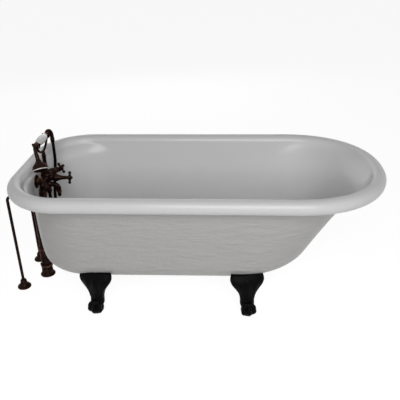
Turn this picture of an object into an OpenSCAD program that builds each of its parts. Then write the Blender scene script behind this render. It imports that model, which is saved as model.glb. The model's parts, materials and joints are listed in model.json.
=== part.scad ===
// Cast iron claw-foot bathtub with a telephone faucet, supply lines and an exposed waste.
// X runs along the tub with the drain end at -X, Y runs across it, Z is up and the floor is Z = 0.

/* [Tub] */
// Overall length over the rolled rim
tub_l = 1524; // [1370:1:1830]
// Overall width over the rolled rim
tub_w = 762; // [700:1:860]
// Height of the rim above the floor
tub_h = 571; // [550:1:700]
// Depth of the basin below the rim, at the drain end
basin_depth = 423; // [380:1:430]
// Thickness of the cast wall
wall = 7; // [5:0.5:9]
// Diameter of the rolled rim
roll_d = 60; // [50:1:72]
// How far the roll curls back under itself, in degrees below its middle
roll_curl = 50; // [30:1:70]
// Radius of the rim's two corners at the drain end
corner_r = 248; // [180:1:280]
// Length of the rounded head end along the tub
head_l = 388; // [300:1:460]
// Fullness of the head end's curve, where 2 is an ellipse
head_fullness = 2.2; // [2:0.1:2.6]
// How far the drain end wall steps in below the roll
end_step = 8; // [4:1:12]
// How much rounder the wall's corners at the drain end are than the rim's
corner_spread = 92; // [40:1:110]
// Depth in which the wall takes its own corners
spread_depth = 56; // [50:1:70]
// How far the side walls lean inward
side_lean = 62; // [30:1:70]
// How far the drain end wall leans inward
drain_end_lean = 22; // [10:1:50]
// How far the head end steps in below the roll
head_step = 18; // [10:1:40]
// How far the sloping head end runs inward before its bottom curve
head_run = 268; // [220:1:300]
// Radius of the curve between the sides and the bottom
side_bottom_r = 78; // [60:1:100]
// Radius of the curve between the drain end and the bottom
drain_bottom_r = 52; // [40:1:80]
// Height of the curve between the head end and the bottom
head_bottom_h = 88; // [70:1:120]
// Length of the curve between the head end and the bottom
head_bottom_l = 104; // [80:1:140]
// Fall of the bottom towards the drain over the whole tub
bottom_fall = 10; // [5:1:20]

/* [Feet] */
// Distance of the drain end pair from the rim's end
drain_foot_x = 334; // [300:1:380]
// Distance of the head end pair from the rim's end
head_foot_x = 556; // [520:1:640]
// Distance of each foot from the middle of the tub
foot_y = 280; // [265:1:290]
// Turn of each foot away from square, towards its corner
foot_turn = 14; // [0:1:30]
// Diameter of the ball that the claw holds
ball_d = 58; // [50:1:64]
// Width of the knee
knee_w = 142; // [110:1:160]
// Width of the ankle
ankle_w = 50; // [40:1:60]
// Diameter of the foot's bolt
foot_bolt_d = 10; // [8:1:12]
// Distance from the ball's middle to the bolt, towards the tub's middle
foot_bolt_in = 72; // [66:1:80]

/* [Waste] */
// Distance of the drain from the rim's end
drain_x = 236; // [225:1:300]
// Diameter of the drain hole
drain_hole_d = 50; // [44:1:56]
// Diameter of the drain flange
drain_flange_d = 76; // [70:1:84]
// Travel of the drain stopper
stopper_lift = 10; // [6:1:14]
// Distance of the overflow's middle below the rim
overflow_drop = 146; // [135:1:170]
// Diameter of the overflow hole
overflow_hole_d = 44; // [36:1:50]
// Diameter of the overflow plate
overflow_plate_d = 80; // [72:1:90]
// Diameter of the waste pipes
waste_d = 35; // [32:1:38]
// Thickness of the waste pipes' wall
waste_wall = 1.5; // [1:0.1:2.5]
// Distance of the upright waste pipe from the rim's end, inward
waste_in = 32; // [30:1:36]
// Height of the horizontal waste pipe's middle above the floor
waste_z = 98; // [94:1:102]
// Height of the tee's upper end above its middle
tee_rise = 50; // [44:1:60]
// Diameter of the waste pipe's floor flange
waste_bell_d = 68; // [64:1:84]

/* [Supply] */
// Diameter of the supply tubes
supply_d = 12.7; // [10:0.1:16]
// Thickness of the supply tubes' wall
supply_wall = 1; // [0.8:0.1:1.5]
// Distance of the supply tubes from the rim's end, outward
supply_out = 45; // [40:1:70]
// Distance of the near supply tube from the middle of the tub
supply_near_y = 105; // [90:1:140]
// Distance of the far supply tube from the middle of the tub
supply_far_y = 125; // [90:1:140]
// Radius of the supply tubes' bends
supply_bend = 20; // [18:1:20]
// Fall of the supply tubes under the rim, before they step outward
supply_fall = 42; // [42:1:60]
// Diameter of the supply tubes' floor flanges
bell_d = 60; // [54:1:70]
// Height of the floor flanges
bell_h = 40; // [34:1:50]

/* [Faucet] */
// Distance of the faucet's middle below the rim
faucet_drop = 72; // [70:1:84]
// Half the distance between the two inlets
inlet_y = 43; // [42:1:48]
// Distance of the faucet's body from the tub's wall
body_reach = 34; // [34:1:48]
// Diameter of the threaded shanks
shank_d = 20; // [18:1:21]
// Diameter of the holes in the tub for the shanks
shank_hole_d = 24; // [22:1:28]
// Diameter of the wall flanges
flange_d = 58; // [48:1:64]
// Distance of each side valve's seat from the middle
valve_y = 62; // [60:1:76]
// Angle of the side valves from straight ahead
valve_angle = 55; // [35:1:60]
// Distance from a side valve's seat to its handle
valve_reach = 46; // [42:1:60]
// Distance from the middle of the body to the diverter's handle
diverter_reach = 91; // [80:1:110]
// Width of a cross handle over its four arms
handle_w = 62; // [54:1:70]
// Diameter of the valve stems
stem_d = 8; // [6:0.5:9]
// Reach of the spout from the middle of the body
spout_reach = 43; // [42:1:60]
// Distance of the spout's mouth below the body's middle
spout_drop = 87; // [80:1:100]
// Diameter of the spout
spout_d = 21; // [18:1:24]

/* [Hand shower] */
// Height of the handset's axis above the body's middle
handset_rise = 172; // [160:1:200]
// Length of the porcelain grip
grip_l = 112; // [96:1:124]
// Diameter of the porcelain grip at its middle
grip_d = 31; // [27:1:34]
// Diameter of the ferrules that the cradle holds
ferrule_d = 22; // [20:1:24]
// Length of each ferrule
ferrule_l = 16; // [14:1:20]
// Angle by which the neck bends down from the grip
neck_angle = 63; // [50:1:75]
// Distance from the neck's bend to the spray face
neck_l = 98; // [84:1:106]
// Diameter of the bell head
head_d = 66; // [58:1:70]
// Roll of the handset in its cradle
handset_roll = 18; // [0:1:22]
// Height that the handset lifts off its cradle
handset_lift = 100; // [60:1:160]
// Diameter of the shower hose
hose_d = 14; // [12:1:16]

/* [Fits] */
// Radial clearance of a turning shaft
run_gap = 0.05; // [0.02:0.01:0.1]
// Clearance of pieces that lie on curved faces or move apart
seat_gap = 0.3; // [0.2:0.1:0.5]

/* [Hidden] */
$fn = 48;

enamel = [0.86, 0.86, 0.85];
bronze = [0.2, 0.13, 0.1];
black = [0.08, 0.08, 0.08];
porcelain = [0.9, 0.89, 0.86];
rubber = [0.15, 0.15, 0.15];

// Main places, from the driving sizes
reach_left = supply_out + bell_d / 2;
end_x = (reach_left - tub_l) / 2;
head_x = end_x + tub_l;
roll_r = roll_d / 2;
half_w = tub_w / 2 - roll_r;
roll_z = tub_h - roll_r;
basin_z = tub_h - basin_depth;
inner_wall_x = end_x + roll_d + end_step;
outer_wall_x = inner_wall_x - wall;
drain_pos_x = end_x + drain_x;
waste_x = end_x + waste_in;
supply_x = end_x - supply_out;
faucet_z = tub_h - faucet_drop;
body_x = inner_wall_x + body_reach;
overflow_z = tub_h - overflow_drop;
handset_z = faucet_z + handset_rise;

// Vectors and frames

function unit(v) = v / norm(v);

// Turns the local Z axis onto a direction, at a point
module along(point, dir) {
    d = unit(dir);
    translate(point) rotate([0, acos(d[2]), atan2(d[1], d[0])]) children();
}

function middle(ring) = [for (i = [0 : 2]) [for (p = ring) p[i]] * [for (p = ring) 1] / len(ring)];

// Closed skin over rings with equally many points, each anticlockwise about the way they advance
module skin(rings) {
    n = len(rings[0]);
    m = len(rings);
    points = concat([for (ring = rings) for (p = ring) p], [middle(rings[0]), middle(rings[m - 1])]);
    faces = [for (i = [0 : n - 1]) let (k = (i + 1) % n) each concat(
        [[n * m, i, k], [n * m + 1, (m - 1) * n + k, (m - 1) * n + i]],
        [for (j = [0 : m - 2]) each [[j * n + i, (j + 1) * n + i, (j + 1) * n + k],
            [j * n + i, (j + 1) * n + k, j * n + k]]])];
    polyhedron(points, faces, convexity = 12);
}

// One piece of pipe between two points
module pipe(a, b, d, bore) {
    along(a, b - a) difference() {
        cylinder(h = norm(b - a), d = d);
        if (bore > 0) translate([0, 0, -1]) cylinder(h = norm(b - a) + 2, d = bore);
    }
}

// Pipe with one square bend between three points that lie along the axes
module square_bend(a, corner, b, bend, d, bore = 0) {
    d1 = unit(corner - a);
    d2 = unit(b - corner);
    k = cross(d1, d2);
    c = corner - d1 * bend + d2 * bend;
    pipe(a, corner - d1 * bend, d, bore);
    pipe(corner + d2 * bend, b, d, bore);
    multmatrix([[-d2[0], d1[0], k[0], c[0]], [-d2[1], d1[1], k[1], c[1]], [-d2[2], d1[2], k[2], c[2]]])
        rotate_extrude(angle = 90, $fn = 96) translate([bend, 0]) difference() {
            circle(d = d);
            if (bore > 0) circle(d = bore);
        }
}

bend_steps = 6;

// Places and directions along a list of points with a round bend at each inner one
function bent_route(pts, bend) = let (last = len(pts) - 1) concat(
    [[pts[0], unit(pts[1] - pts[0])]],
    [for (i = [1 : last - 1]) let (
        d1 = unit(pts[i] - pts[i - 1]),
        d2 = unit(pts[i + 1] - pts[i]),
        n = unit(d2 - d1 * (d1 * d2)),
        a = turn(pts, i),
        c = pts[i] - d1 * bend * tan(a / 2) + n * bend)
        each [for (j = [0 : bend_steps]) let (b = a * j / bend_steps)
            [c - n * bend * cos(b) + d1 * bend * sin(b), d1 * cos(b) + n * sin(b)]]],
    [[pts[last], unit(pts[last] - pts[last - 1])]]);

// Ring round a place, square to its direction, turned by a reference that no direction follows
function bar_ring(at, r, sides, ref) = let (u = unit(cross(ref, at[1])), v = cross(at[1], u))
    [for (i = [0 : sides - 1]) at[0] + r * (u * cos(360 * i / sides) + v * sin(360 * i / sides))];

// Round bar along a bent route
module bent_bar(pts, bend, d, ref, sides = 16) {
    skin([for (at = bent_route(pts, bend)) bar_ring(at, d / 2, sides, ref)]);
}

function turn(pts, i) = acos(unit(pts[i] - pts[i - 1]) * unit(pts[i + 1] - pts[i]));

// Hexagonal nut with chamfered ends and a round bore
module hex_nut(across, h, bore) {
    chamfer = 1.2;
    difference() {
        intersection() {
            cylinder(h = h, d = across / cos(30), $fn = 6);
            rotate_extrude() polygon([[0, 0], [across / 2, 0], [across / cos(30) / 2, chamfer],
                [across / cos(30) / 2, h - chamfer], [across / 2, h], [0, h]]);
        }
        translate([0, 0, -1]) cylinder(h = h + 2, d = bore);
    }
}

// Turned piece from a list of [radius, height] points, closed on the axis
module turned(profile) {
    rotate_extrude() polygon(concat([[0, profile[0][1]]], profile, [[0, profile[len(profile) - 1][1]]]));
}

// Tub shell

head_line = head_l - roll_r;
head_start_x = head_x - head_l;
flat_steps = 6;
corner_steps = 8;
side_steps = 8;
head_steps = 26;

// Stations round the roll's middle line, or a like line with rounder corners: place and way out
function outline(corner) =
    let (r = corner - roll_r, flat_y = half_w - r, corner_x = end_x + corner)
    concat(
        [for (i = [0 : flat_steps - 1]) [end_x + roll_r, flat_y * (1 - 2 * i / flat_steps), -1, 0]],
        [for (i = [0 : corner_steps - 1]) let (a = 180 + 90 * i / corner_steps)
            [corner_x + r * cos(a), -flat_y + r * sin(a), cos(a), sin(a)]],
        [for (i = [0 : side_steps - 1])
            [corner_x + (head_start_x - corner_x) * i / side_steps, -half_w, 0, -1]],
        [for (i = [0 : head_steps - 1]) head_station(-90 + 180 * i / head_steps)],
        [for (i = [0 : side_steps - 1])
            [head_start_x - (head_start_x - corner_x) * i / side_steps, half_w, 0, 1]],
        [for (i = [0 : corner_steps - 1]) let (a = 90 + 90 * i / corner_steps)
            [corner_x + r * cos(a), flat_y + r * sin(a), cos(a), sin(a)]]
    );

function head_station(a) =
    let (c = pow(cos(a), 2 / head_fullness),
        s = sign(sin(a)) * pow(abs(sin(a)), 2 / head_fullness),
        n = unit([pow(c, head_fullness - 1) / head_line,
            sign(s) * pow(abs(s), head_fullness - 1) / half_w]))
    [head_start_x + head_line * c, half_w * s, n[0], n[1]];

// Inset of a bottom curve of radius r and height h at a depth, in a wall of a full depth
function curve_in(r, h, depth, full) =
    let (t = min(1, max(0, (depth - full + h) / h))) r * (1 - sqrt(1 - t * t));

// Ring of the wall at a depth, where out is 0 on the inside and the wall's thickness outside
function wall_ring(depth, out) =
    let (full = roll_z - basin_z + out,
        s = depth / full,
        spread = 1 - pow(1 - min(1, depth / spread_depth), 2),
        x0 = end_x + roll_d - out,
        x1 = head_x - roll_d + out,
        in_drain = end_step * min(1, depth / step_depth) + drain_end_lean * pow(s, 6)
            + curve_in(drain_bottom_r + out, drain_bottom_r + out, depth, full),
        in_head = head_step * spread + head_run * pow(s, head_power)
            + curve_in(head_bottom_l + out, head_bottom_h + out, depth, full),
        in_side = side_lean * s + curve_in(side_bottom_r + out, side_bottom_r + out, depth, full),
        kx = 1 - (in_drain + in_head) / (x1 - x0),
        ky = 1 - in_side / (half_w - roll_r + out))
    [for (q = outline(corner_r + corner_spread * spread))
        let (ex = q[0] + q[2] * (out - roll_r),
            ey = q[1] + q[3] * (out - roll_r),
            x = x0 + in_drain + (ex - x0) * kx)
        [x, ey * ky, roll_z - depth + bottom_fall * (x - drain_pos_x) / tub_l * pow(s, 4)]];

// Ring of the roll at an angle of its section
function roll_ring(r, a) = [for (q = outline(corner_r))
    [q[0] + q[2] * r * cos(a), q[1] + q[3] * r * cos(a), roll_z + r * sin(a)]];

step_depth = 12;
head_power = 0.8;
upper_levels = 2;
curve_levels = 7;
roll_steps = 11;
curl_steps = 8;

// Depths of the wall's rings, from just below the roll to the bottom
function depths(out) =
    let (full = roll_z - basin_z + out, straight = full - head_bottom_h - out)
    concat([step_depth, spread_depth / 2, spread_depth],
        [for (j = [1 : upper_levels]) spread_depth + (straight - spread_depth) * j / upper_levels],
        [for (j = [1 : curve_levels]) straight + (full - straight) * sin(90 * j / curve_levels)]);

inner_depths = depths(0);
outer_depths = depths(wall);
last_depth = len(inner_depths) - 1;

shell_rings = concat(
    [for (j = [last_depth : -1 : 0]) wall_ring(outer_depths[j], wall)],
    [for (j = [0 : curl_steps]) roll_ring(roll_r - wall, 180 - (180 + roll_curl) * j / curl_steps)],
    [for (j = [0 : roll_steps]) roll_ring(roll_r, -roll_curl + (180 + roll_curl) * j / roll_steps)],
    [for (j = [0 : last_depth]) wall_ring(inner_depths[j], 0)]
);

// Height of the tub's underside at a place along it
function under_z(x) = basin_z - wall + bottom_fall * (x - drain_pos_x) / tub_l;

boss_d = 40;
foot_seat_z = under_z(end_x + drain_foot_x) - 12;
drain_pad_z = under_z(drain_pos_x) - 4;
drain_seat_z = basin_z - 2;
foot_places = [for (x = [end_x + drain_foot_x, head_x - head_foot_x]) for (s = [-1, 1]) [x, s]];

// Place of a foot's bolt
function bolt_at(p) = [p[0] - foot_out(p)[0] * foot_bolt_in, p[1] * foot_y - foot_out(p)[1] * foot_bolt_in];

// Outward direction of a foot
function foot_out(p) = [foot_side(p) * sin(foot_turn), p[1] * cos(foot_turn)];

function foot_side(p) = p[0] < (end_x + head_x) / 2 ? -1 : 1;

module tub_shell() {
    color(enamel) difference() {
        union() {
            skin(shell_rings);
            for (p = foot_places)
                translate([bolt_at(p)[0], bolt_at(p)[1], foot_seat_z])
                    cylinder(h = under_z(p[0]) - foot_seat_z + wall / 2, d = boss_d);
            translate([drain_pos_x, 0, drain_pad_z]) cylinder(h = wall, d = drain_flange_d + 8);
        }
        translate([drain_pos_x, 0, drain_pad_z - 1]) cylinder(h = 40, d = drain_hole_d);
        translate([drain_pos_x, 0, drain_seat_z]) cylinder(h = 40, d = drain_flange_d + 4);
        through_end(0, overflow_z, overflow_hole_d);
        for (s = [-1, 1]) {
            through_end(s * inlet_y, faucet_z, shank_hole_d);
            translate([inner_wall_x, s * inlet_y, faucet_z]) rotate([0, 90, 0])
                cylinder(h = wall, d = flange_d + 2);
        }
        for (p = foot_places)
            translate([bolt_at(p)[0], bolt_at(p)[1], foot_seat_z - 1])
                cylinder(h = foot_bolt_hole + 1, d = foot_bolt_d + 2 * run_gap);
    }
}

foot_bolt_hole = 14;

// Round hole through the drain end wall
module through_end(y, z, d) {
    translate([outer_wall_x - 5, y, z]) rotate([0, 90, 0]) cylinder(h = wall + 10, d = d);
}

// Claw feet

// Ring of the foot's casting: middle [out, up], half width and half thickness
function foot_ring(c, w, t) = [for (i = [0 : foot_sides - 1]) let (a = 360 * i / foot_sides)
    [c[0] + t * sign(cos(a)) * pow(abs(cos(a)), 0.8), w * sign(sin(a)) * pow(abs(sin(a)), 0.8), c[1]]];

foot_sides = 14;
ball_r = ball_d / 2;
ball_z = ball_r - 1.5;
ankle_z = 66;
knee_z = foot_seat_z + 38;
pad_h = 12;
saddle_level = 3;

foot_rings = [
    foot_ring([-10, ball_z], ball_r - 10, ball_r - 12),
    foot_ring([-11, ball_z + 20], ankle_w / 2 + 1, 20),
    foot_ring([-13, ankle_z], ankle_w / 2, 19),
    foot_ring([-14, ankle_z + 14], ankle_w / 2 + 2, 19),
    foot_ring([-15, ankle_z + 30], knee_w / 2 - 38, 20),
    foot_ring([-15, knee_z - 54], knee_w / 2 - 28, 22),
    foot_ring([-15, knee_z - 34], knee_w / 2 - 13, 24),
    foot_ring([-15, knee_z - 16], knee_w / 2 - 3, 24),
    foot_ring([-18, knee_z], knee_w / 2, 24),
    foot_ring([-23, knee_z + 14], knee_w / 2 - 4, 20)
];

// The tub's underside, a little larger all round, that the feet are cut to
saddle_rings = [for (j = [last_depth : -1 : saddle_level]) wall_ring(outer_depths[j], wall + seat_gap)];

// One toe of the claw, bent over the ball: turn from straight ahead
module toe(turned_by) {
    knuckles = [[-52, 1, 4], [-30, 3, 7], [-5, 5, 7.5], [20, 5, 10], [42, 6, 9], [70, 10, 8]];
    rotate([0, 0, turned_by]) skin([for (k = knuckles) toe_ring(k[0], ball_r + k[1] - 3, k[2])]);
}

function toe_ring(a, r, t) = [for (i = [0 : 7]) let (b = 45 * i)
    [(r + t * cos(b)) * cos(a), t * sin(b), ball_z + (r + t * cos(b)) * sin(a)]];

module claw_foot(p) {
    out = foot_out(p);
    difference() {
        translate([p[0], p[1] * foot_y, 0]) rotate([0, 0, atan2(out[1], out[0])]) {
            skin(foot_rings);
            translate([0, 0, ball_z]) sphere(r = ball_r);
            for (a = [-52, 0, 52, 180]) toe(a);
            translate([0, 0, foot_seat_z - pad_h]) linear_extrude(pad_h) difference() {
                union() {
                    translate([-foot_bolt_in, 0]) circle(d = boss_d);
                    translate([-foot_bolt_in, -boss_d / 2]) square([foot_bolt_in, boss_d]);
                }
                translate([-foot_bolt_in, 0]) circle(d = foot_bolt_d + 2);
            }
        }
        translate([p[0], p[1] * foot_y, -knee_w]) cube(2 * knee_w, center = true);
        skin(saddle_rings);
    }
}

module foot_drain_near() { color(black) claw_foot(foot_places[0]); }
module foot_drain_far() { color(black) claw_foot(foot_places[1]); }
module foot_head_near() { color(black) claw_foot(foot_places[2]); }
module foot_head_far() { color(black) claw_foot(foot_places[3]); }

washer_h = 2.5;
bolt_head_h = 7;

module foot_bolts() {
    head_z = foot_seat_z - pad_h - washer_h - bolt_head_h;
    color(black) for (p = foot_places) translate([bolt_at(p)[0], bolt_at(p)[1], head_z]) {
        cylinder(h = bolt_head_h, d = 1.8 * foot_bolt_d, $fn = 6);
        cylinder(h = bolt_head_h + washer_h + pad_h + foot_bolt_hole - 2, d = foot_bolt_d);
    }
}

module foot_washers() {
    color(black) for (p = foot_places)
        translate([bolt_at(p)[0], bolt_at(p)[1], foot_seat_z - pad_h - washer_h]) difference() {
            cylinder(h = washer_h, d = 2.4 * foot_bolt_d);
            translate([0, 0, -1]) cylinder(h = washer_h + 2, d = foot_bolt_d + 1);
        }
}

// Drain

throat_d = drain_hole_d - 4;
throat_bore = throat_d - 6;
throat_z = drain_pad_z - 16;
guide_d = 14;

module drain_flange() {
    color(bronze) translate([drain_pos_x, 0, 0]) {
        difference() {
            union() {
                translate([0, 0, drain_seat_z]) turned([[drain_flange_d / 2, 0],
                    [drain_flange_d / 2, 1], [throat_d / 2 + 3, 3], [throat_bore / 2 + 2, 3]]);
                translate([0, 0, throat_z]) cylinder(h = drain_seat_z - throat_z + 1, d = throat_d);
            }
            translate([0, 0, throat_z - 1]) cylinder(h = 60, d = throat_bore);
        }
        difference() {
            union() {
                for (a = [0, 90]) rotate([0, 0, a]) translate([0, 0, throat_z + 4])
                    cube([throat_bore + 1, 3, 8], center = true);
                translate([0, 0, throat_z]) cylinder(h = 8, d = guide_d);
            }
            translate([0, 0, throat_z - 1]) cylinder(h = 20, d = stem_d + 2 * run_gap);
        }
    }
}

gasket_h = 3;

module drain_gasket() {
    color(rubber) translate([drain_pos_x, 0, drain_pad_z - gasket_h]) difference() {
        cylinder(h = gasket_h, d = drain_flange_d);
        translate([0, 0, -1]) cylinder(h = gasket_h + 2, d = throat_d + 1);
    }
}

stopper_d = drain_hole_d + 4;
stopper_top_z = drain_seat_z + 3 + seat_gap;

module drain_stopper() {
    color(bronze) translate([drain_pos_x, 0, stopper_top_z]) {
        turned([[stopper_d / 2 - 1, 0], [stopper_d / 2, 1], [stopper_d / 2 - 2, 4], [12, 7], [6, 8],
            [5, 14], [8, 16], [8, 20], [5, 22]]);
        translate([0, 0, throat_z - stopper_top_z - stopper_lift])
            cylinder(h = stopper_top_z - throat_z + stopper_lift + 2, d = stem_d);
    }
}

shoe_d = throat_d + 9;

module drain_shoe() {
    top = drain_pad_z - gasket_h;
    color(bronze) difference() {
        union() {
            translate([drain_pos_x, 0, top - 5]) cylinder(h = 5, d = drain_flange_d);
            translate([drain_pos_x, 0, waste_z]) cylinder(h = top - waste_z, d = shoe_d);
            translate([drain_pos_x, 0, waste_z]) sphere(d = shoe_d);
            pipe([drain_pos_x, 0, waste_z], [drain_pos_x - shoe_d / 2 - 18, 0, waste_z], waste_d + 6, 0);
        }
        translate([drain_pos_x, 0, throat_z]) cylinder(h = 60, d = throat_d + 2 * run_gap);
        translate([drain_pos_x, 0, waste_z]) cylinder(h = 60, d = throat_bore);
        translate([drain_pos_x, 0, waste_z]) sphere(d = throat_bore);
        pipe([drain_pos_x, 0, waste_z], [drain_pos_x - shoe_d / 2 - 19, 0, waste_z], waste_d - 4, 0);
        pipe([shoe_socket_x, 0, waste_z], [shoe_socket_x - 20, 0, waste_z], waste_d + 2 * run_gap, 0);
    }
}

shoe_socket_x = drain_pos_x - shoe_d / 2 - 4;
tee_d = waste_d + 8;
tee_mouth_x = waste_x + tee_d / 2 + 16;
nut_across = waste_d + 17;
nut_h = 18;

module waste_tube() {
    color(bronze) pipe([shoe_socket_x, 0, waste_z], [waste_x + tee_d / 2 + 2, 0, waste_z],
        waste_d, waste_d - 2 * waste_wall);
}

module waste_tee() {
    low = waste_z - tee_rise;
    high = waste_z + tee_rise;
    color(bronze) difference() {
        union() {
            translate([waste_x, 0, low]) cylinder(h = high - low, d = tee_d);
            pipe([waste_x, 0, waste_z], [tee_mouth_x, 0, waste_z], tee_d, 0);
        }
        translate([waste_x, 0, low - 1]) cylinder(h = high - low + 2, d = waste_d - 4);
        pipe([waste_x, 0, waste_z], [tee_mouth_x + 1, 0, waste_z], waste_d - 4, 0);
        translate([waste_x, 0, high - socket]) cylinder(h = socket + 1, d = waste_d + 2 * run_gap);
        translate([waste_x, 0, low - 1]) cylinder(h = socket + 1, d = waste_d + 2 * run_gap);
        pipe([waste_x + tee_d / 2 + 2, 0, waste_z], [tee_mouth_x + 1, 0, waste_z],
            waste_d + 2 * run_gap, 0);
    }
}

socket = 16;

// Slip nut that holds a waste pipe in a socket, its collar over the socket's end
module slip_nut() {
    difference() {
        union() {
            hex_nut(nut_across, nut_h - 5, waste_d + 2 * run_gap);
            translate([0, 0, nut_h - 5]) cylinder(h = 5, d1 = nut_across - 2, d2 = waste_d + 5);
        }
        translate([0, 0, -1]) cylinder(h = nut_h - 6, d = tee_d + 2 * run_gap);
        translate([0, 0, -1]) cylinder(h = nut_h + 2, d = waste_d + 2 * run_gap);
    }
}

module slip_nuts() {
    grip_in = nut_h - 7;
    color(bronze) {
        along([waste_x, 0, waste_z + tee_rise - grip_in], [0, 0, 1]) slip_nut();
        along([waste_x, 0, waste_z - tee_rise + grip_in], [0, 0, -1]) slip_nut();
        along([tee_mouth_x - grip_in, 0, waste_z], [1, 0, 0]) slip_nut();
    }
}

elbow_drop = 34;

module overflow_tube() {
    color(bronze) pipe([waste_x, 0, waste_z + tee_rise - socket + 1],
        [waste_x, 0, overflow_z - elbow_drop + socket], waste_d, waste_d - 2 * waste_wall);
}

overflow_gasket_h = 2.5;
elbow_flange_h = 4;
elbow_flange_d = overflow_hole_d + 24;

module overflow_gasket() {
    color(rubber) translate([outer_wall_x - seat_gap, 0, overflow_z]) rotate([0, -90, 0]) difference() {
        cylinder(h = overflow_gasket_h, d = elbow_flange_d);
        translate([0, 0, -1]) cylinder(h = overflow_gasket_h + 2, d = overflow_hole_d - 4);
    }
}

module overflow_elbow() {
    face_x = outer_wall_x - seat_gap - overflow_gasket_h;
    color(bronze) difference() {
        union() {
            translate([face_x, 0, overflow_z]) rotate([0, -90, 0])
                cylinder(h = elbow_flange_h, d = elbow_flange_d);
            pipe([waste_x, 0, overflow_z], [face_x, 0, overflow_z], tee_d - 4, 0);
            intersection() {
                translate([waste_x, 0, overflow_z]) sphere(d = tee_d + 2);
                translate([waste_x - 100, -50, overflow_z - 50]) cube([face_x - waste_x + 100, 100, 100]);
            }
            translate([waste_x, 0, overflow_z - elbow_drop]) intersection() {
                cylinder(h = elbow_drop, d = tee_d);
                translate([-100, -50, 0]) cube([face_x - waste_x + 100, 100, 100]);
            }
        }
        translate([waste_x, 0, overflow_z - elbow_drop - 1])
            cylinder(h = socket + 1, d = waste_d + 2 * run_gap);
        translate([waste_x, 0, overflow_z - elbow_drop]) cylinder(h = elbow_drop, d = waste_d - 6);
        translate([waste_x, 0, overflow_z]) rotate([0, 90, 0]) cylinder(h = 50, d = waste_d - 6);
        for (s = [-1, 1]) translate([face_x + 1, s * screw_y, overflow_z]) rotate([0, -90, 0])
            cylinder(h = elbow_flange_h + 2, d = screw_d + 2 * run_gap);
    }
}

screw_d = 4;
screw_y = overflow_hole_d / 2 - 4;
plate_h = 12;

module overflow_plate() {
    color(bronze) translate([inner_wall_x + seat_gap, 0, overflow_z]) rotate([0, 90, 0]) difference() {
        turned([[overflow_plate_d / 2 - 2, 0], [overflow_plate_d / 2, 2], [overflow_plate_d / 2, 5],
            [overflow_plate_d / 2 - 3, 9], [overflow_plate_d / 2 - 14, plate_h]]);
        translate([0, 0, -1]) cylinder(h = plate_h - 2, d = overflow_plate_d - 8);
        for (s = [-1, 1]) translate([0, s * screw_y, 0]) cylinder(h = plate_h + 1, d = screw_d + 1);
        for (i = [-2 : 2]) translate([14, i * 9 - 2, 0]) cube([14, 4, plate_h + 1]);
    }
}

module overflow_screws() {
    x0 = outer_wall_x - overflow_gasket_h - elbow_flange_h;
    x1 = inner_wall_x + seat_gap + plate_h;
    color(bronze) for (s = [-1, 1]) translate([x0, s * screw_y, overflow_z]) rotate([0, 90, 0]) {
        cylinder(h = x1 - x0, d = screw_d);
        translate([0, 0, x1 - x0]) turned([[4, 0], [4, 1], [2.5, 2.5]]);
    }
}

module tail_tube() {
    color(bronze) pipe([waste_x, 0, 0], [waste_x, 0, waste_z - tee_rise + socket - 1],
        waste_d, waste_d - 2 * waste_wall);
}

// Bell-shaped floor flange round a pipe
module bell(d, h, pipe_d) {
    neck = pipe_d / 2 + 5;
    difference() {
        rotate_extrude() polygon(concat(
            [[pipe_d / 2 + run_gap, 0], [d / 2, 0], [d / 2, 3], [d / 2 - 3, 6]],
            [for (i = [0 : 6]) let (a = 15 * i)
                [neck + 3 + (d / 2 - 6 - neck) * (1 - sin(a)), 8 + (h - 20) * (1 - cos(a))]],
            [[neck + 3, h - 9], [neck + 1, h - 6], [neck + 1, h - 3], [neck - 2, h],
                [pipe_d / 2 + run_gap, h]]));
        translate([0, 0, -1]) cylinder(h = 5, d1 = d - 6, d2 = d - 14);
    }
}

module waste_bell() {
    color(bronze) translate([waste_x, 0, 0]) bell(waste_bell_d, bell_h, waste_d);
}

// Supply lines

locknut_h = 8;
supply_nut_h = 22;
nut_x = outer_wall_x - gasket_h - locknut_h - 1;
supply_start_x = nut_x - 4;

under_rim_x = nut_x - supply_nut_h - supply_bend - 4;
low_run_z = faucet_z - supply_fall;

// Supply tube from the shank to the floor: out, across under the rim, down, out and down
module supply_tube(side, y) {
    inner = supply_d - 2 * supply_wall;
    across = side * (inlet_y + y) / 2;
    down = faucet_z - supply_bend;
    out = under_rim_x - supply_bend;
    square_bend([supply_start_x, side * inlet_y, faucet_z], [under_rim_x, side * inlet_y, faucet_z],
        [under_rim_x, across, faucet_z], supply_bend, supply_d, inner);
    square_bend([under_rim_x, across, faucet_z], [under_rim_x, side * y, faucet_z],
        [under_rim_x, side * y, down - 1], supply_bend, supply_d, inner);
    square_bend([under_rim_x, side * y, down - 1], [under_rim_x, side * y, low_run_z],
        [out - 1, side * y, low_run_z], supply_bend, supply_d, inner);
    square_bend([out - 1, side * y, low_run_z], [supply_x, side * y, low_run_z],
        [supply_x, side * y, 0], supply_bend, supply_d, inner);
}

module supply_tube_near() { color(bronze) supply_tube(-1, supply_near_y); }
module supply_tube_far() { color(bronze) supply_tube(1, supply_far_y); }

module supply_nuts() {
    across = shank_d + 5;
    color(bronze) for (s = [-1, 1]) along([nut_x, s * inlet_y, faucet_z], [-1, 0, 0]) difference() {
        union() {
            hex_nut(across, supply_nut_h - 8, supply_d + 2 * run_gap);
            translate([0, 0, supply_nut_h - 8]) cylinder(h = 8, d1 = across - 4, d2 = supply_d + 4);
        }
        translate([0, 0, -1]) cylinder(h = 13, d = shank_d + 2 * run_gap);
        translate([0, 0, -1]) cylinder(h = supply_nut_h + 2, d = supply_d + 2 * run_gap);
    }
}

module supply_bell_near() {
    color(bronze) translate([supply_x, -supply_near_y, 0]) bell(bell_d, bell_h, supply_d);
}

module supply_bell_far() {
    color(bronze) translate([supply_x, supply_far_y, 0]) bell(bell_d, bell_h, supply_d);
}

// Faucet

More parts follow.
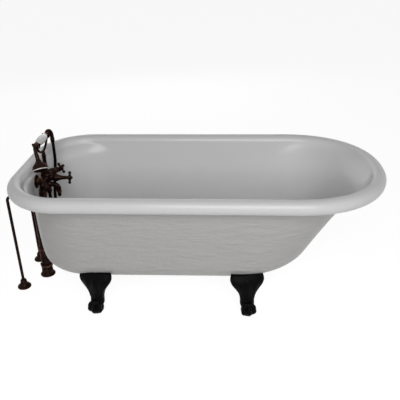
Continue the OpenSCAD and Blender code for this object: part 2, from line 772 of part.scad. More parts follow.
body_d = 34;
arm_d = 24;
inlet_d = 22;
flange_h = 8;
inlet_nut_h = 9;
valve_ball_d = 32;
boss_out = 18;
column_top = 46;
column_low = 46;

function valve_dir(side) = [cos(valve_angle), side * sin(valve_angle), 0];
function valve_at(side) = [body_x, side * valve_y, faucet_z];

module faucet_body() {
    inlet_face = inner_wall_x + seat_gap + flange_h + inlet_nut_h;
    color(bronze) difference() {
        union() {
            translate([body_x, 0, faucet_z - column_low]) turned([[9, 0], [10, 2], [10, 6], [12, 8],
                [12, 24], [body_d / 2, 34], [body_d / 2, 60], [body_d / 2 - 3, 66], [13, 70], [15, 74],
                [15, 78], [11, 82], [8, 84], [8, 88], [10, 90], [10, column_top + column_low]]);
            pipe([body_x, -valve_y, faucet_z], [body_x, valve_y, faucet_z], arm_d, 0);
            for (s = [-1, 1]) {
                translate(valve_at(s)) sphere(d = valve_ball_d);
                along(valve_at(s), valve_dir(s)) cylinder(h = boss_out, d = 26);
                along([inlet_face, s * inlet_y, faucet_z], [1, 0, 0])
                    cylinder(h = body_x - inlet_face, d = inlet_d);
                along([body_x, s * 24, faucet_z], [0, s, 0]) turned([[arm_d / 2 - 1, 0],
                    [arm_d / 2 + 2, 1.5], [arm_d / 2 + 2, 3.5], [arm_d / 2 - 1, 5]]);
            }
            along([body_x, 0, faucet_z], [1, 0, 0])
                cylinder(h = diverter_boss, d = 28);
            pipe([body_x, 0, spout_z], [spout_root_x, 0, spout_z], spout_d, 0);
        }
        for (s = [-1, 1]) along(valve_at(s), valve_dir(s)) cylinder(h = boss_out + 1, d = thread_d);
        along([body_x, 0, faucet_z], [1, 0, 0]) cylinder(h = diverter_boss + 1, d = thread_d);
        translate([body_x, 0, faucet_z - column_low - 1]) cylinder(h = 9, d = 8);
        for (s = [-1, 1]) along([inlet_face - 1, s * inlet_y, faucet_z], [1, 0, 0]) cylinder(h = 9, d = 11);
        translate([body_x, 0, faucet_z + column_top - 10]) cylinder(h = 11, d = post_pin_d);
    }
}

diverter_boss = 26;
thread_d = 18;
post_pin_d = 8;
spout_z = faucet_z - 32;
spout_root_x = body_x + body_d / 2 + 3;
spout_bend = 20;

module wall_flanges() {
    color(bronze) for (s = [-1, 1]) along([inner_wall_x + seat_gap, s * inlet_y, faucet_z], [1, 0, 0])
        difference() {
            turned([[flange_d / 2 - 1, 0], [flange_d / 2, 1], [flange_d / 2 - 1, 3], [flange_d / 2 - 7, 5],
                [17, 6], [16, flange_h]]);
            translate([0, 0, -1]) cylinder(h = flange_h + 2, d = shank_d + 2 * run_gap);
        }
}

module faucet_shanks() {
    x0 = nut_x - 3;
    x1 = inner_wall_x + seat_gap + flange_h + inlet_nut_h;
    color(bronze) for (s = [-1, 1]) difference() {
        pipe([x0, s * inlet_y, faucet_z], [x1, s * inlet_y, faucet_z], shank_d, 11);
        pipe([x0 - 1, s * inlet_y, faucet_z], [x0 + 5, s * inlet_y, faucet_z], supply_d + 2 * run_gap, 0);
    }
}

module shank_gaskets() {
    color(rubber) for (s = [-1, 1])
        pipe([outer_wall_x - seat_gap, s * inlet_y, faucet_z],
            [outer_wall_x - gasket_h, s * inlet_y, faucet_z], shank_d + 16, shank_d + 2 * run_gap);
}

module shank_locknuts() {
    color(bronze) for (s = [-1, 1])
        along([outer_wall_x - gasket_h, s * inlet_y, faucet_z], [-1, 0, 0])
            hex_nut(shank_d + 12, locknut_h, shank_d + 2 * run_gap);
}

module inlet_nuts() {
    color(bronze) for (s = [-1, 1])
        along([inner_wall_x + seat_gap + flange_h, s * inlet_y, faucet_z], [1, 0, 0])
            hex_nut(shank_d + 10, inlet_nut_h, shank_d + 2 * run_gap);
}

// Bonnet screwed into a boss, with its stem's bore: how far it stands out of the boss
module bonnet(boss, out_l) {
    difference() {
        union() {
            translate([0, 0, boss - 9]) cylinder(h = 10, d = thread_d - 2 * run_gap);
            translate([0, 0, boss]) cylinder(h = 9, d = 28, $fn = 6);
            translate([0, 0, boss + 9]) turned([[12, 0], [13, 1.5], [12, 3], [9, out_l - 15],
                [6.5, out_l - 10], [6.5, out_l - 9]]);
        }
        cylinder(h = boss + out_l + 1, d = stem_d + 2 * run_gap);
    }
}

// Stem from inside the boss to the handle's hub
module stem(boss, reach) {
    translate([0, 0, boss - 8]) cylinder(h = reach - boss + 8 + hub_bore, d = stem_d);
}

hub_h = 14;
hub_bore = 8;
hub_d = 18;

// Four-armed handle, its hub's face at the given reach
module cross_handle(reach) {
    arm_z = hub_h / 2;
    tip = handle_w / 2 - 5;
    translate([0, 0, reach]) difference() {
        union() {
            turned([[7, 0], [hub_d / 2 - 1, 1], [hub_d / 2, 4], [hub_d / 2, hub_h - 4],
                [hub_d / 2 - 1, hub_h - 1], [7, hub_h]]);
            for (a = [0 : 90 : 270]) rotate([0, 0, a + 45]) translate([0, 0, arm_z]) rotate([0, 90, 0]) {
                cylinder(h = tip, d1 = 9, d2 = 6.5);
                translate([0, 0, 15]) turned([[4.2, -1.5], [5, -0.5], [5, 0.5], [4.2, 1.5]]);
                translate([0, 0, tip]) sphere(d = 10);
            }
        }
        translate([0, 0, -1]) cylinder(h = hub_bore + 1, d = stem_d + 2 * run_gap);
        translate([0, 0, hub_h - 2]) cylinder(h = 3, d = 12);
    }
}

// Round button in the face of a hub
module button(reach) {
    translate([0, 0, reach + hub_h - 2]) turned([[6 - run_gap, 0], [6 - run_gap, 2.5], [5, 3.6], [3, 4.3]]);
}

module on_valve(side) { along(valve_at(side), valve_dir(side)) children(); }

module hot_bonnet() { color(bronze) on_valve(-1) bonnet(boss_out, valve_reach - boss_out - 2); }
module hot_stem() { color(bronze) on_valve(-1) stem(boss_out, valve_reach); }
module hot_handle() { color(bronze) on_valve(-1) cross_handle(valve_reach); }
module hot_button() { color(bronze) on_valve(-1) button(valve_reach); }
module cold_bonnet() { color(bronze) on_valve(1) bonnet(boss_out, valve_reach - boss_out - 2); }
module cold_stem() { color(bronze) on_valve(1) stem(boss_out, valve_reach); }
module cold_handle() { color(bronze) on_valve(1) cross_handle(valve_reach); }
module cold_button() { color(bronze) on_valve(1) button(valve_reach); }

module on_diverter() { along([body_x, 0, faucet_z], [1, 0, 0]) children(); }

module diverter_bonnet() {
    color(bronze) on_diverter() difference() {
        union() {
            translate([0, 0, diverter_boss - 9]) cylinder(h = 10, d = thread_d - 2 * run_gap);
            translate([0, 0, diverter_boss]) cylinder(h = 12, d = 34, $fn = 6);
            translate([0, 0, diverter_boss + 12]) turned([[15, 0], [17, 2], [16, 6], [12, 14], [9, 26],
                [7, diverter_reach - diverter_boss - 16], [7, diverter_reach - diverter_boss - 14]]);
        }
        cylinder(h = diverter_reach + 1, d = stem_d + 2 * run_gap);
    }
}

module diverter_stem() { color(bronze) on_diverter() stem(diverter_boss, diverter_reach); }
module diverter_handle() { color(bronze) on_diverter() cross_handle(diverter_reach); }
module diverter_button() { color(bronze) on_diverter() button(diverter_reach); }

tip_l = 22;
tip_d = 15;

module spout() {
    bottom = faucet_z - spout_drop + tip_l;
    color(bronze) square_bend([spout_root_x, 0, spout_z], [body_x + spout_reach, 0, spout_z],
        [body_x + spout_reach, 0, bottom], spout_bend, spout_d, spout_d - 7);
}

module spout_tip() {
    bottom = faucet_z - spout_drop;
    color(bronze) translate([body_x + spout_reach, 0, bottom]) difference() {
        turned([[tip_d / 2 - 1, 0], [tip_d / 2, 1], [tip_d / 2, tip_l - 5], [spout_d / 2, tip_l - 3],
            [spout_d / 2, tip_l]]);
        translate([0, 0, -1]) cylinder(h = tip_l + 2, d = tip_d - 4);
    }
}

// Cradle

yoke_y = grip_l / 2 + ferrule_l / 2;
yoke_r = 5;
fork_tube = 3.5;
fork_flat = 0.8;
fork_bore = ferrule_d + 2 * seat_gap;
fork_r = fork_bore / 2 + fork_tube - fork_flat;
yoke_end_z = handset_z - fork_r;
yoke_low_z = yoke_end_z - 36;
yoke_bow = (yoke_y * yoke_y + pow(yoke_end_z - yoke_low_z, 2)) / (2 * (yoke_end_z - yoke_low_z));
yoke_sweep = asin(yoke_y / yoke_bow);
post_top_z = yoke_low_z - yoke_r;
post_r = 5;
tenon_d = 4;
tenon_h = 5;
yoke_seat_d = 14;

module cradle_post() {
    base = faucet_z + column_top;
    l = post_top_z - base;
    color(bronze) translate([body_x, 0, base]) {
        turned([[9, 0], [10, 2], [9, 4], [post_r + 1, 6], [post_r, 10], [post_r, l - 14],
            [post_r + 1, l - 12], [post_r + 1, l - 9], [post_r, l - 7], [post_r, l - 4],
            [yoke_seat_d / 2, l - 2], [yoke_seat_d / 2, l]]);
        translate([0, 0, -9]) cylinder(h = 10, d = post_pin_d - 2 * run_gap);
        translate([0, 0, l - 1]) cylinder(h = tenon_h + 1, d = tenon_d);
    }
}

module cradle_yoke() {
    color(bronze) difference() {
        union() {
            translate([body_x, 0, yoke_low_z + yoke_bow]) rotate([90, 0, 90])
                rotate([0, 0, -90 - yoke_sweep]) rotate_extrude(angle = 2 * yoke_sweep, $fn = 96)
                    translate([yoke_bow, 0]) circle(r = yoke_r);
            translate([body_x, 0, post_top_z]) cylinder(h = tenon_h + 1, d = yoke_seat_d);
            for (s = [-1, 1]) translate([body_x, s * yoke_y, handset_z]) {
                rotate([90, 0, 0]) rotate([0, 0, -190]) rotate_extrude(angle = 200, $fn = 96)
                    translate([fork_r, 0]) circle(r = fork_tube);
                for (a = [10, 170])
                    translate([fork_r * cos(a), 0, fork_r * sin(a)]) sphere(r = fork_tube + 1);
                translate([0, 0, -fork_r]) sphere(r = yoke_r + 1);
            }
        }
        translate([body_x, 0, post_top_z - 1]) cylinder(h = tenon_h + 1.5, d = tenon_d + 2 * run_gap);
        for (s = [-1, 1]) translate([body_x, s * yoke_y, handset_z]) {
            rotate([90, 0, 0]) cylinder(h = 2 * ferrule_l, d = fork_bore, center = true);
            translate([-fork_bore / 2, -ferrule_l, 0]) cube([fork_bore, 2 * ferrule_l, 2 * ferrule_d]);
        }
    }
}

// Hand shower: its own frame has the grip along Y and the head hanging down from its near end

module on_handset() {
    translate([body_x, 0, handset_z]) rotate([0, -handset_roll, 0]) children();
}

module shower_grip() {
    n = 10;
    color(porcelain) on_handset() rotate([90, 0, 0]) translate([0, 0, -grip_l / 2])
        turned([for (i = [0 : n])
            [grip_end_r + (grip_d / 2 - grip_end_r) * sin(180 * i / n), grip_l * i / n]]);
}

grip_end_r = 10;

module shower_ferrules() {
    h = ferrule_l;
    color(bronze) on_handset() for (s = [-1, 1]) rotate([-90 * s, 0, 0]) translate([0, 0, grip_l / 2])
        turned([[ferrule_d / 2 - 1, 0], [ferrule_d / 2, 1], [ferrule_d / 2, h - 1],
            [ferrule_d / 2 - 1, h]]);
}

neck_d = 15;
spray_h = 40;
head_corner = grip_l / 2 + ferrule_l + 12;
head_dir = [0, -cos(neck_angle), -sin(neck_angle)];
head_base = [0, -head_corner, 0] + head_dir * (neck_l - spray_h);
ring_h = 3;

module shower_head() {
    color(bronze) on_handset() {
        bent_bar([[0, -grip_l / 2 - ferrule_l, 0], [0, -head_corner, 0], head_base + head_dir * 3],
            18, neck_d, [1, 0, 0]);
        along([0, -head_corner + 12, 0], [0, -1, 0])
            turned([[neck_d / 2 + 2, 0], [neck_d / 2 + 3, 1], [neck_d / 2 + 3, 4], [neck_d / 2 + 1, 5]]);
        along(head_base, head_dir) difference() {
            turned([[neck_d / 2 + 1, 0], [neck_d / 2 + 2, 3], [neck_d / 2, 6], [11, 12], [17, 19],
                [24, 25], [29, 30], [head_d / 2, spray_h - ring_h - 4], [head_d / 2, spray_h - ring_h]]);
            translate([0, 0, spray_h - ring_h - 4]) cylinder(h = 10, d = head_d - 8);
        }
    }
}

module shower_ring() {
    at = head_base + head_dir * (spray_h - ring_h);
    color(porcelain) on_handset() along(at, head_dir) difference() {
        cylinder(h = ring_h, d = head_d + 1);
        translate([0, 0, -1]) cylinder(h = ring_h + 2, d = head_d - 8);
    }
}

module shower_face() {
    holes = [for (r = [8, 16, 23]) for (a = [0 : 360 / (r / 2 + 2) : 359]) [r, a]];
    at = head_base + head_dir * (spray_h - ring_h - 4);
    face_r = head_d / 2 - 4 - run_gap;
    color(bronze) on_handset() along(at, head_dir) difference() {
        turned([[face_r, 0], [face_r, ring_h + 5], [26, ring_h + 7], [12, ring_h + 8]]);
        for (p = holes) rotate([0, 0, p[1]]) translate([p[0], 0, ring_h + 5])
            cylinder(h = 6, d = 2, $fn = 16);
    }
}

elbow_y = grip_l / 2 + ferrule_l;
elbow_d = 15;
hose_in = 6;
hose_nut_h = 18;
hose_top = [body_x + 14.5, 92, handset_z - 38];

module shower_elbow() {
    start = [body_x, elbow_y, handset_z];
    rise = [body_x + 3, elbow_y + 12, handset_z + 9];
    fall = [hose_top[0], hose_top[1], handset_z - 4];
    color(bronze) {
        difference() {
            bent_bar([start, rise, fall, hose_top + [0, 0, hose_nut_h - hose_in]], 8, elbow_d,
                [1, 0, 0], 12);
            translate(start - [elbow_d, 2 * elbow_d, elbow_d]) cube(2 * elbow_d);
        }
        along(start, [0, 1, 0]) turned([[10, 0], [10, 2], [elbow_d / 2 + 1, 6]]);
    }
}

module hose_nut_upper() {
    color(bronze) translate(hose_top - [0, 0, hose_in]) difference() {
        turned([[8, 0], [9, 2], [9.5, hose_nut_h - 2], [9, hose_nut_h]]);
        translate([0, 0, -1]) cylinder(h = hose_in + 1, d = hose_d + 2 * run_gap);
    }
}

low_nut_h = 28;
hose_low = [body_x, 0, faucet_z - column_low - low_nut_h + hose_in];

module hose_nut_lower() {
    color(bronze) translate(hose_low - [0, 0, hose_in]) difference() {
        turned([[8, 0], [9, 2], [11, 16], [11, low_nut_h]]);
        translate([0, 0, -1]) cylinder(h = hose_in + 1, d = hose_d + 2 * run_gap);
    }
}

// Route of the hose: down from the handset, round the basin's bottom and back up to the faucet
hose_points = [[-608, 92, 633], [-608, 92, 598], [-610, 96, 562], [-614, 101, 527], [-620, 104, 492],
    [-625, 102, 456], [-629, 95, 420], [-631, 87, 382], [-630, 81, 344], [-624, 79, 306], [-613, 80, 270],
    [-596, 83, 236], [-573, 87, 206], [-543, 92, 182], [-508, 97, 167], [-470, 103, 159],
    [-432, 108, 156], [-394, 110, 156], [-356, 106, 157], [-320, 94, 157], [-292, 69, 157],
    [-277, 35, 158], [-275, -3, 158], [-288, -39, 157], [-314, -67, 157], [-347, -86, 157],
    [-384, -95, 156], [-422, -96, 156], [-460, -91, 157], [-496, -80, 163], [-528, -65, 177],
    [-554, -50, 200], [-576, -37, 230], [-594, -25, 262], [-607, -14, 297], [-615, -6, 334],
    [-620, -1, 371], [-622.5, 0, 401], [-622.5, 0, 431]];

hose_last = len(hose_points) - 1;
hose_sides = 10;

// Directions of the hose at its points, and a side direction carried along without twist
hose_ways = [for (i = [0 : hose_last]) i == 0 ? [0, 0, -1] : i == hose_last ? [0, 0, 1]
    : unit(hose_points[i + 1] - hose_points[i - 1])];
hose_rings = [for (i = 0, u = [1, 0, 0]; i <= hose_last;
        u = i == hose_last ? u : unit(u - hose_ways[i + 1] * (u * hose_ways[i + 1])), i = i + 1)
    let (v = cross(hose_ways[i], u))
    [for (k = [0 : hose_sides - 1]) let (a = 360 * k / hose_sides)
        hose_points[i] + hose_d / 2 * (u * cos(a) + v * sin(a))]];

module shower_hose() {
    color(bronze) skin(hose_rings);
}

tub_shell();
foot_drain_near();
foot_drain_far();
foot_head_near();
foot_head_far();
foot_bolts();
foot_washers();
drain_flange();
drain_gasket();
drain_shoe();
drain_stopper();
waste_tube();
waste_tee();
slip_nuts();
overflow_tube();
overflow_elbow();
overflow_gasket();
overflow_plate();
overflow_screws();
tail_tube();
waste_bell();
supply_tube_near();
supply_tube_far();
supply_nuts();
supply_bell_near();
supply_bell_far();
faucet_body();
wall_flanges();
faucet_shanks();
shank_gaskets();
shank_locknuts();
inlet_nuts();
hot_bonnet();
hot_stem();
hot_handle();
hot_button();
cold_bonnet();
cold_stem();
cold_handle();
cold_button();
diverter_bonnet();
diverter_stem();
diverter_handle();
diverter_button();
spout();
spout_tip();
cradle_post();
cradle_yoke();
shower_grip();
shower_ferrules();
shower_head();
shower_ring();
shower_face();
shower_elbow();
hose_nut_upper();
shower_hose();
hose_nut_lower();
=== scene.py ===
import json
import math

import bmesh
import bpy
from mathutils import Matrix, Vector
from mathutils.bvhtree import BVHTree
from mathutils.geometry import interpolate_bezier


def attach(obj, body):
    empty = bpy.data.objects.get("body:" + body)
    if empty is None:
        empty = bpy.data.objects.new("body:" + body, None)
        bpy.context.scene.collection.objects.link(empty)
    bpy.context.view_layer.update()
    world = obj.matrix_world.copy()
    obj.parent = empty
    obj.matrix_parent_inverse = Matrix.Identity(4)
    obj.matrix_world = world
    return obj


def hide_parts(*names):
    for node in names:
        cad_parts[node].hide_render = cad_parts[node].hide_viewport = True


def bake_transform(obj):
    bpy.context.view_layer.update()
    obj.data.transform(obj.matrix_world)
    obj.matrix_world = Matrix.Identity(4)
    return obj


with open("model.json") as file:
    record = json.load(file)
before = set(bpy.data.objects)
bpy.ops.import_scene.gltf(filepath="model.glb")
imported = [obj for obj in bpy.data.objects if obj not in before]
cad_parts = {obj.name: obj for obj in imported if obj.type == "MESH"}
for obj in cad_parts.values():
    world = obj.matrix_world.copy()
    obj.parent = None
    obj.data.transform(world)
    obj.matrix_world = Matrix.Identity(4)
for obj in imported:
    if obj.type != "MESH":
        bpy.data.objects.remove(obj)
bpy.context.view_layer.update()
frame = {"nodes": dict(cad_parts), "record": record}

scene = bpy.context.scene
scene.view_settings.view_transform = "Standard"

# The camera stands at the photograph's viewing angle: in front of the tub, a little to the right,
# looking down over the rim into the basin.
MM = 0.001
eye = Vector((165.3, -2061.9, 1422.4)) * MM
aim = Vector((49.7, 0, 386)) * MM
camera_roll = math.radians(-1.03)
forward = (aim - eye).normalized()
level = forward.cross(Vector((0, 0, 1))).normalized()
upright = level.cross(forward)
camera_right = level * math.cos(camera_roll) + upright * math.sin(camera_roll)
camera_up = camera_right.cross(forward)
lens = bpy.data.cameras.new("camera")
lens.sensor_width = 36
lens.lens = 47.74
lens.shift_x = -0.0075
lens.shift_y = 0.0047
lens.clip_end = 60
camera = bpy.data.objects.new("camera", lens)
camera.matrix_world = (Matrix.Translation(eye)
    @ Matrix((camera_right, camera_up, -forward)).transposed().to_4x4())
scene.collection.objects.link(camera)
scene.camera = camera

# Shower hose: a spiral-wound metal hose of 14 mm that leaves the handset's elbow, hangs into the
# basin, lies in one loose loop on its bottom and rises to the nut under the faucet. Its bands are
# rolled from strip, so that it shows a fine ribbing.
hose_d = 14 * MM
hose_step = 2 * MM
rib_h = 0.7 * MM
hose_sides = 14
hose_route = [(-608, 92, 633), (-608, 92, 598), (-610, 96, 562), (-614, 101, 527), (-620, 104, 492),
    (-625, 102, 456), (-629, 95, 420), (-631, 87, 382), (-630, 81, 344), (-624, 79, 306),
    (-613, 80, 270), (-596, 83, 236), (-573, 87, 206), (-543, 92, 182), (-508, 97, 167),
    (-470, 103, 159), (-432, 108, 156), (-394, 110, 156), (-356, 106, 157), (-320, 94, 157),
    (-292, 69, 157), (-277, 35, 158), (-275, -3, 158), (-288, -39, 157), (-314, -67, 157),
    (-347, -86, 157), (-384, -95, 156), (-422, -96, 156), (-460, -91, 157), (-496, -80, 163),
    (-528, -65, 177), (-554, -50, 200), (-576, -37, 230), (-594, -25, 262), (-607, -14, 297),
    (-615, -6, 334), (-620, -1, 371), (-622.5, 0, 401), (-622.5, 0, 431)]


def smooth_path(points, step):
    """Points about a step apart on one smooth curve through the given points, in metres."""
    pts = [Vector(p) * MM for p in points]
    ends = [pts[0] * 2 - pts[1]] + pts + [pts[-1] * 2 - pts[-2]]
    path = [pts[0]]
    for a, p, q, b in zip(ends, ends[1:], ends[2:], ends[3:]):
        count = max(1, round((q - p).length / step))
        path += interpolate_bezier(p, p + (q - a) / 6, q - (b - p) / 6, q, count + 1)[1:]
    return path


def new_piece(name, bm, material, body, replaced=()):
    """Makes the finished mesh a piece that rides on a body and stands for the named nodes."""
    mesh = bpy.data.meshes.new(name)
    bm.to_mesh(mesh)
    bm.free()
    mesh.shade_smooth()
    mesh.materials.append(material)
    piece = bpy.data.objects.new(name, mesh)
    scene.collection.objects.link(piece)
    if body:
        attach(piece, body)
    if replaced:
        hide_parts(*replaced)
    return piece


def loft(bm, rings):
    """Closed skin over rings of equally many points: a first ring, extruded to each next one."""
    first = len(bm.verts)
    loop = [bm.verts.new(p) for p in rings[0]]
    edges = [bm.edges.new(pair) for pair in zip(loop, loop[1:] + loop[:1])]
    for ring in rings[1:]:
        made = bmesh.ops.extrude_edge_only(bm, edges=edges)["geom"]
        fresh = {v for v in made if isinstance(v, bmesh.types.BMVert)}
        loop = [next(e.other_vert(v) for e in v.link_edges if e.other_vert(v) in fresh)
            for v in loop]
        for v, p in zip(loop, ring):
            v.co = p
        edges = [bm.edges.get(pair) for pair in zip(loop, loop[1:] + loop[:1])]
    bm.verts.ensure_lookup_table()
    bm.faces.new([bm.verts[first + i] for i in range(len(loop))][::-1])
    bm.faces.new(loop)


def frames_along(path):
    """Place, direction and a side that is carried along without twist, for each point of a path."""
    ways = [(b - a).normalized() for a, b in zip(path[:1] + path[:-1], path[1:] + path[-1:])]
    side = ways[0].orthogonal().normalized()
    frames = []
    for place, way in zip(path, ways):
        side = (side - way * side.dot(way)).normalized()
        frames.append((place, way, side))
    return frames


def tube(bm, path, radii, sides):
    """Round bar along a path, with a radius for each of its points and closed ends."""
    rings = []
    for (place, way, side), r in zip(frames_along(path), radii):
        other = way.cross(side)
        rings.append([place + r * (side * math.cos(t) + other * math.sin(t))
            for t in (math.tau * i / sides for i in range(sides))])
    loft(bm, rings)


def new_material(name, settings):
    """New material with values on its shader's sockets, and its node tree and shader."""
    material = bpy.data.materials.new(name)
    material.use_nodes = True
    skin = material.node_tree.nodes["Principled BSDF"]
    for socket, value in settings.items():
        skin.inputs[socket].default_value = value
    return material, material.node_tree, skin


def object_noise(tree, scale, detail, stretch=(1, 1, 1)):
    """Noise on Object coordinates, stretched along the axes."""
    coords = tree.nodes.new("ShaderNodeTexCoord")
    mapping = tree.nodes.new("ShaderNodeMapping")
    mapping.inputs["Scale"].default_value = stretch
    noise = tree.nodes.new("ShaderNodeTexNoise")
    noise.inputs["Scale"].default_value = scale
    noise.inputs["Detail"].default_value = detail
    noise.inputs["Roughness"].default_value = 0.6
    tree.links.new(coords.outputs["Object"], mapping.inputs["Vector"])
    tree.links.new(mapping.outputs["Vector"], noise.inputs["Vector"])
    return noise.outputs["Fac"]


def ramp(tree, source, stops, target):
    """Colour ramp from a value to a socket, as a list of (place, colour or grey)."""
    node = tree.nodes.new("ShaderNodeValToRGB")
    while len(node.color_ramp.elements) < len(stops):
        node.color_ramp.elements.new(0.5)
    for element, (place, colour) in zip(node.color_ramp.elements, stops):
        element.position = place
        grey = isinstance(colour, (int, float))
        element.color = (colour, colour, colour, 1) if grey else (*colour, 1)
    tree.links.new(source, node.inputs["Fac"])
    tree.links.new(node.outputs["Color"], target)


def relief(tree, source, strength, height, skin):
    """Bump on the shader from a value, with its height in metres."""
    bump = tree.nodes.new("ShaderNodeBump")
    bump.inputs["Strength"].default_value = strength
    bump.inputs["Distance"].default_value = height
    tree.links.new(source, bump.inputs["Height"])
    tree.links.new(bump.outputs["Normal"], skin.inputs["Normal"])


def edge_wear_and_glint_group(start=0.56, fade=0.07, breakup=0.06):
    """Mask of a piece's rubbed edges, which also serves as painted highlights along them: sharp
    convex places, broken up by noise. It begins at a pointiness of start less the width, and is
    full after the fade."""
    group = bpy.data.node_groups.new("rubbed_and_glint_edges", "ShaderNodeTree")
    for name, way in (("Width", "INPUT"), ("Grain", "INPUT"), ("Mask", "OUTPUT")):
        group.interface.new_socket(name, in_out=way, socket_type="NodeSocketFloat")
    ins = group.nodes.new("NodeGroupInput")
    outs = group.nodes.new("NodeGroupOutput")
    shape = group.nodes.new("ShaderNodeNewGeometry")
    coords = group.nodes.new("ShaderNodeTexCoord")
    noise = group.nodes.new("ShaderNodeTexNoise")
    noise.inputs["Detail"].default_value = 4
    spread = group.nodes.new("ShaderNodeMath")
    spread.operation = "MULTIPLY_ADD"
    spread.inputs[1].default_value = breakup
    low = group.nodes.new("ShaderNodeMath")
    low.operation = "SUBTRACT"
    low.inputs[0].default_value = start
    high = group.nodes.new("ShaderNodeMath")
    high.inputs[1].default_value = fade
    reach = group.nodes.new("ShaderNodeMapRange")
    for source, target in (
            (coords.outputs["Object"], noise.inputs["Vector"]),
            (ins.outputs["Grain"], noise.inputs["Scale"]),
            (noise.outputs["Fac"], spread.inputs[0]),
            (shape.outputs["Pointiness"], spread.inputs[2]),
            (ins.outputs["Width"], low.inputs[1]),
            (low.outputs[0], high.inputs[0]),
            (spread.outputs[0], reach.inputs["Value"]),
            (low.outputs[0], reach.inputs["From Min"]),
            (high.outputs[0], reach.inputs["From Max"]),
            (reach.outputs["Result"], outs.inputs["Mask"])):
        group.links.new(source, target)
    return group


rubbed_and_glint_edges = edge_wear_and_glint_group()


def edge_mask(tree, width, grain):
    """Mask of the rubbed edges, which also stands for painted highlights on them, with one
    material's own width and grain.
    """
    edges = tree.nodes.new("ShaderNodeGroup")
    edges.node_tree = rubbed_and_glint_edges
    edges.inputs["Width"].default_value = width
    edges.inputs["Grain"].default_value = grain
    return edges.outputs["Mask"]


def bronze_finish(name, dark, brown, copper, rough, wear_and_glint):
    """Dark oiled bronze: a blotched brown-black patina that is rubbed to copper on its edges; the
    copper there is partly real wear and partly painted copper glints.
    """
    material, tree, skin = new_material(name, {"Metallic": 0.85,
        "Specular Tint": (0.5, 0.27, 0.2, 1), "Coat Weight": 0.04, "Coat Roughness": 0.25})
    mix = tree.nodes.new("ShaderNodeMix")
    mix.data_type = "RGBA"
    mix.inputs["B"].default_value = (*copper, 1)
    # copper colour on sharp convex edges: partly rubbed wear, partly painted copper glints
    tree.links.new(edge_mask(tree, wear_and_glint, 220), mix.inputs["Factor"])
    ramp(tree, object_noise(tree, 55, 6), [(0.35, dark), (0.7, brown)], mix.inputs["A"])
    tree.links.new(mix.outputs["Result"], skin.inputs["Base Color"])
    fine = object_noise(tree, 320, 5)
    ramp(tree, fine, [(0.3, rough - 0.09), (0.75, rough + 0.13)], skin.inputs["Roughness"])
    relief(tree, fine, 0.12, 0.0006, skin)
    return material


oiled_bronze = bronze_finish("oiled_bronze", (0.004, 0.003, 0.003), (0.02, 0.0095, 0.0068),
    (0.14, 0.062, 0.038), 0.34, -0.016)
tube_bronze = bronze_finish("tube_bronze", (0.004, 0.003, 0.003), (0.018, 0.009, 0.0065),
    (0.06, 0.028, 0.018), 0.3, -0.2)

hose_line = smooth_path(hose_route, hose_step)
ribs = [hose_d / 2 - (rib_h if i % 2 else 0) for i in range(len(hose_line))]
bm = bmesh.new()
tube(bm, hose_line, ribs, hose_sides)
hose = new_piece("hose_spiral", bm, tube_bronze, None, ["shower_hose"])
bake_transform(hose)

# Tub shell: one piece of cast iron with a rolled rim, poured 7 mm thick and covered with fired
# enamel. The walls run down from under the roll to the basin's bottom, steep at the drain end and
# in a long slope at the rounded head end. All of its sizes are in mm.
end_x = -724.5
head_x = 799.5
tub_l = head_x - end_x
half_w = 351
roll_r = 30
roll_z = 541
wall = 7
basin_z = 148
corner_r = 248
corner_spread = 92
spread_depth = 56
head_l = 388
head_fullness = 2.2
drain_pos_x = -488.5
# the roll's curl in degrees, its lip, and where it eases into the head end's slope
roll_curl = 50
lip_turn = 6
head_ease = 35
ease_depth = 42
# how far each wall stands in just under the roll, how far it leans, and its bottom curve
step_depth = 12
drain_step = 8
drain_lean = 22
drain_curve = 52
head_step = 18
head_lean = 268
head_curve_l = 104
head_curve_h = 88
side_lean = 62
side_curve = 78
bottom_fall = 10
# stations along the flat end, each corner, each side and the head, and rings down the section
flat_steps = 12
corner_steps = 20
side_steps = 16
head_steps = 52
under_steps = 16
over_steps = 24
wall_steps = 6
curve_steps = 12
floor_steps = 6


def outline(corner):
    """Stations round the roll's middle line, with given corners: place and way out, in mm."""
    r = corner - roll_r
    flat_y = half_w - r
    corner_x = end_x + corner
    head_start = head_x - head_l
    head_line = head_l - roll_r
    side_l = head_start - corner_x

    def corner_arc(start, middle_y):
        """Stations of a quarter turn that begins at an angle."""
        angles = [math.radians(start + 90 * i / corner_steps) for i in range(corner_steps)]
        return [(corner_x + r * math.cos(a), middle_y + r * math.sin(a), math.cos(a), math.sin(a))
            for a in angles]

    stations = [(end_x + roll_r, flat_y * (1 - 2 * i / flat_steps), -1, 0)
        for i in range(flat_steps)]
    stations += corner_arc(180, -flat_y)
    stations += [(corner_x + side_l * i / side_steps, -half_w, 0, -1) for i in range(side_steps)]
    for i in range(head_steps):
        a = math.radians(-90 + 180 * i / head_steps)
        c = max(math.cos(a), 0) ** (2 / head_fullness)
        s = math.copysign(abs(math.sin(a)) ** (2 / head_fullness), math.sin(a))
        out = Vector((c ** (head_fullness - 1) / head_line,
            math.copysign(abs(s) ** (head_fullness - 1), s) / half_w)).normalized()
        stations.append((head_start + head_line * c, half_w * s, out.x, out.y))
    stations += [(head_start - side_l * i / side_steps, half_w, 0, 1) for i in range(side_steps)]
    return stations + corner_arc(90, flat_y)


def curve_in(r, h, depth, full):
    """How far a bottom curve stands in from its wall at a depth."""
    t = min(1, max(0, (depth - full + h) / h))
    return r * (1 - math.sqrt(1 - t * t))


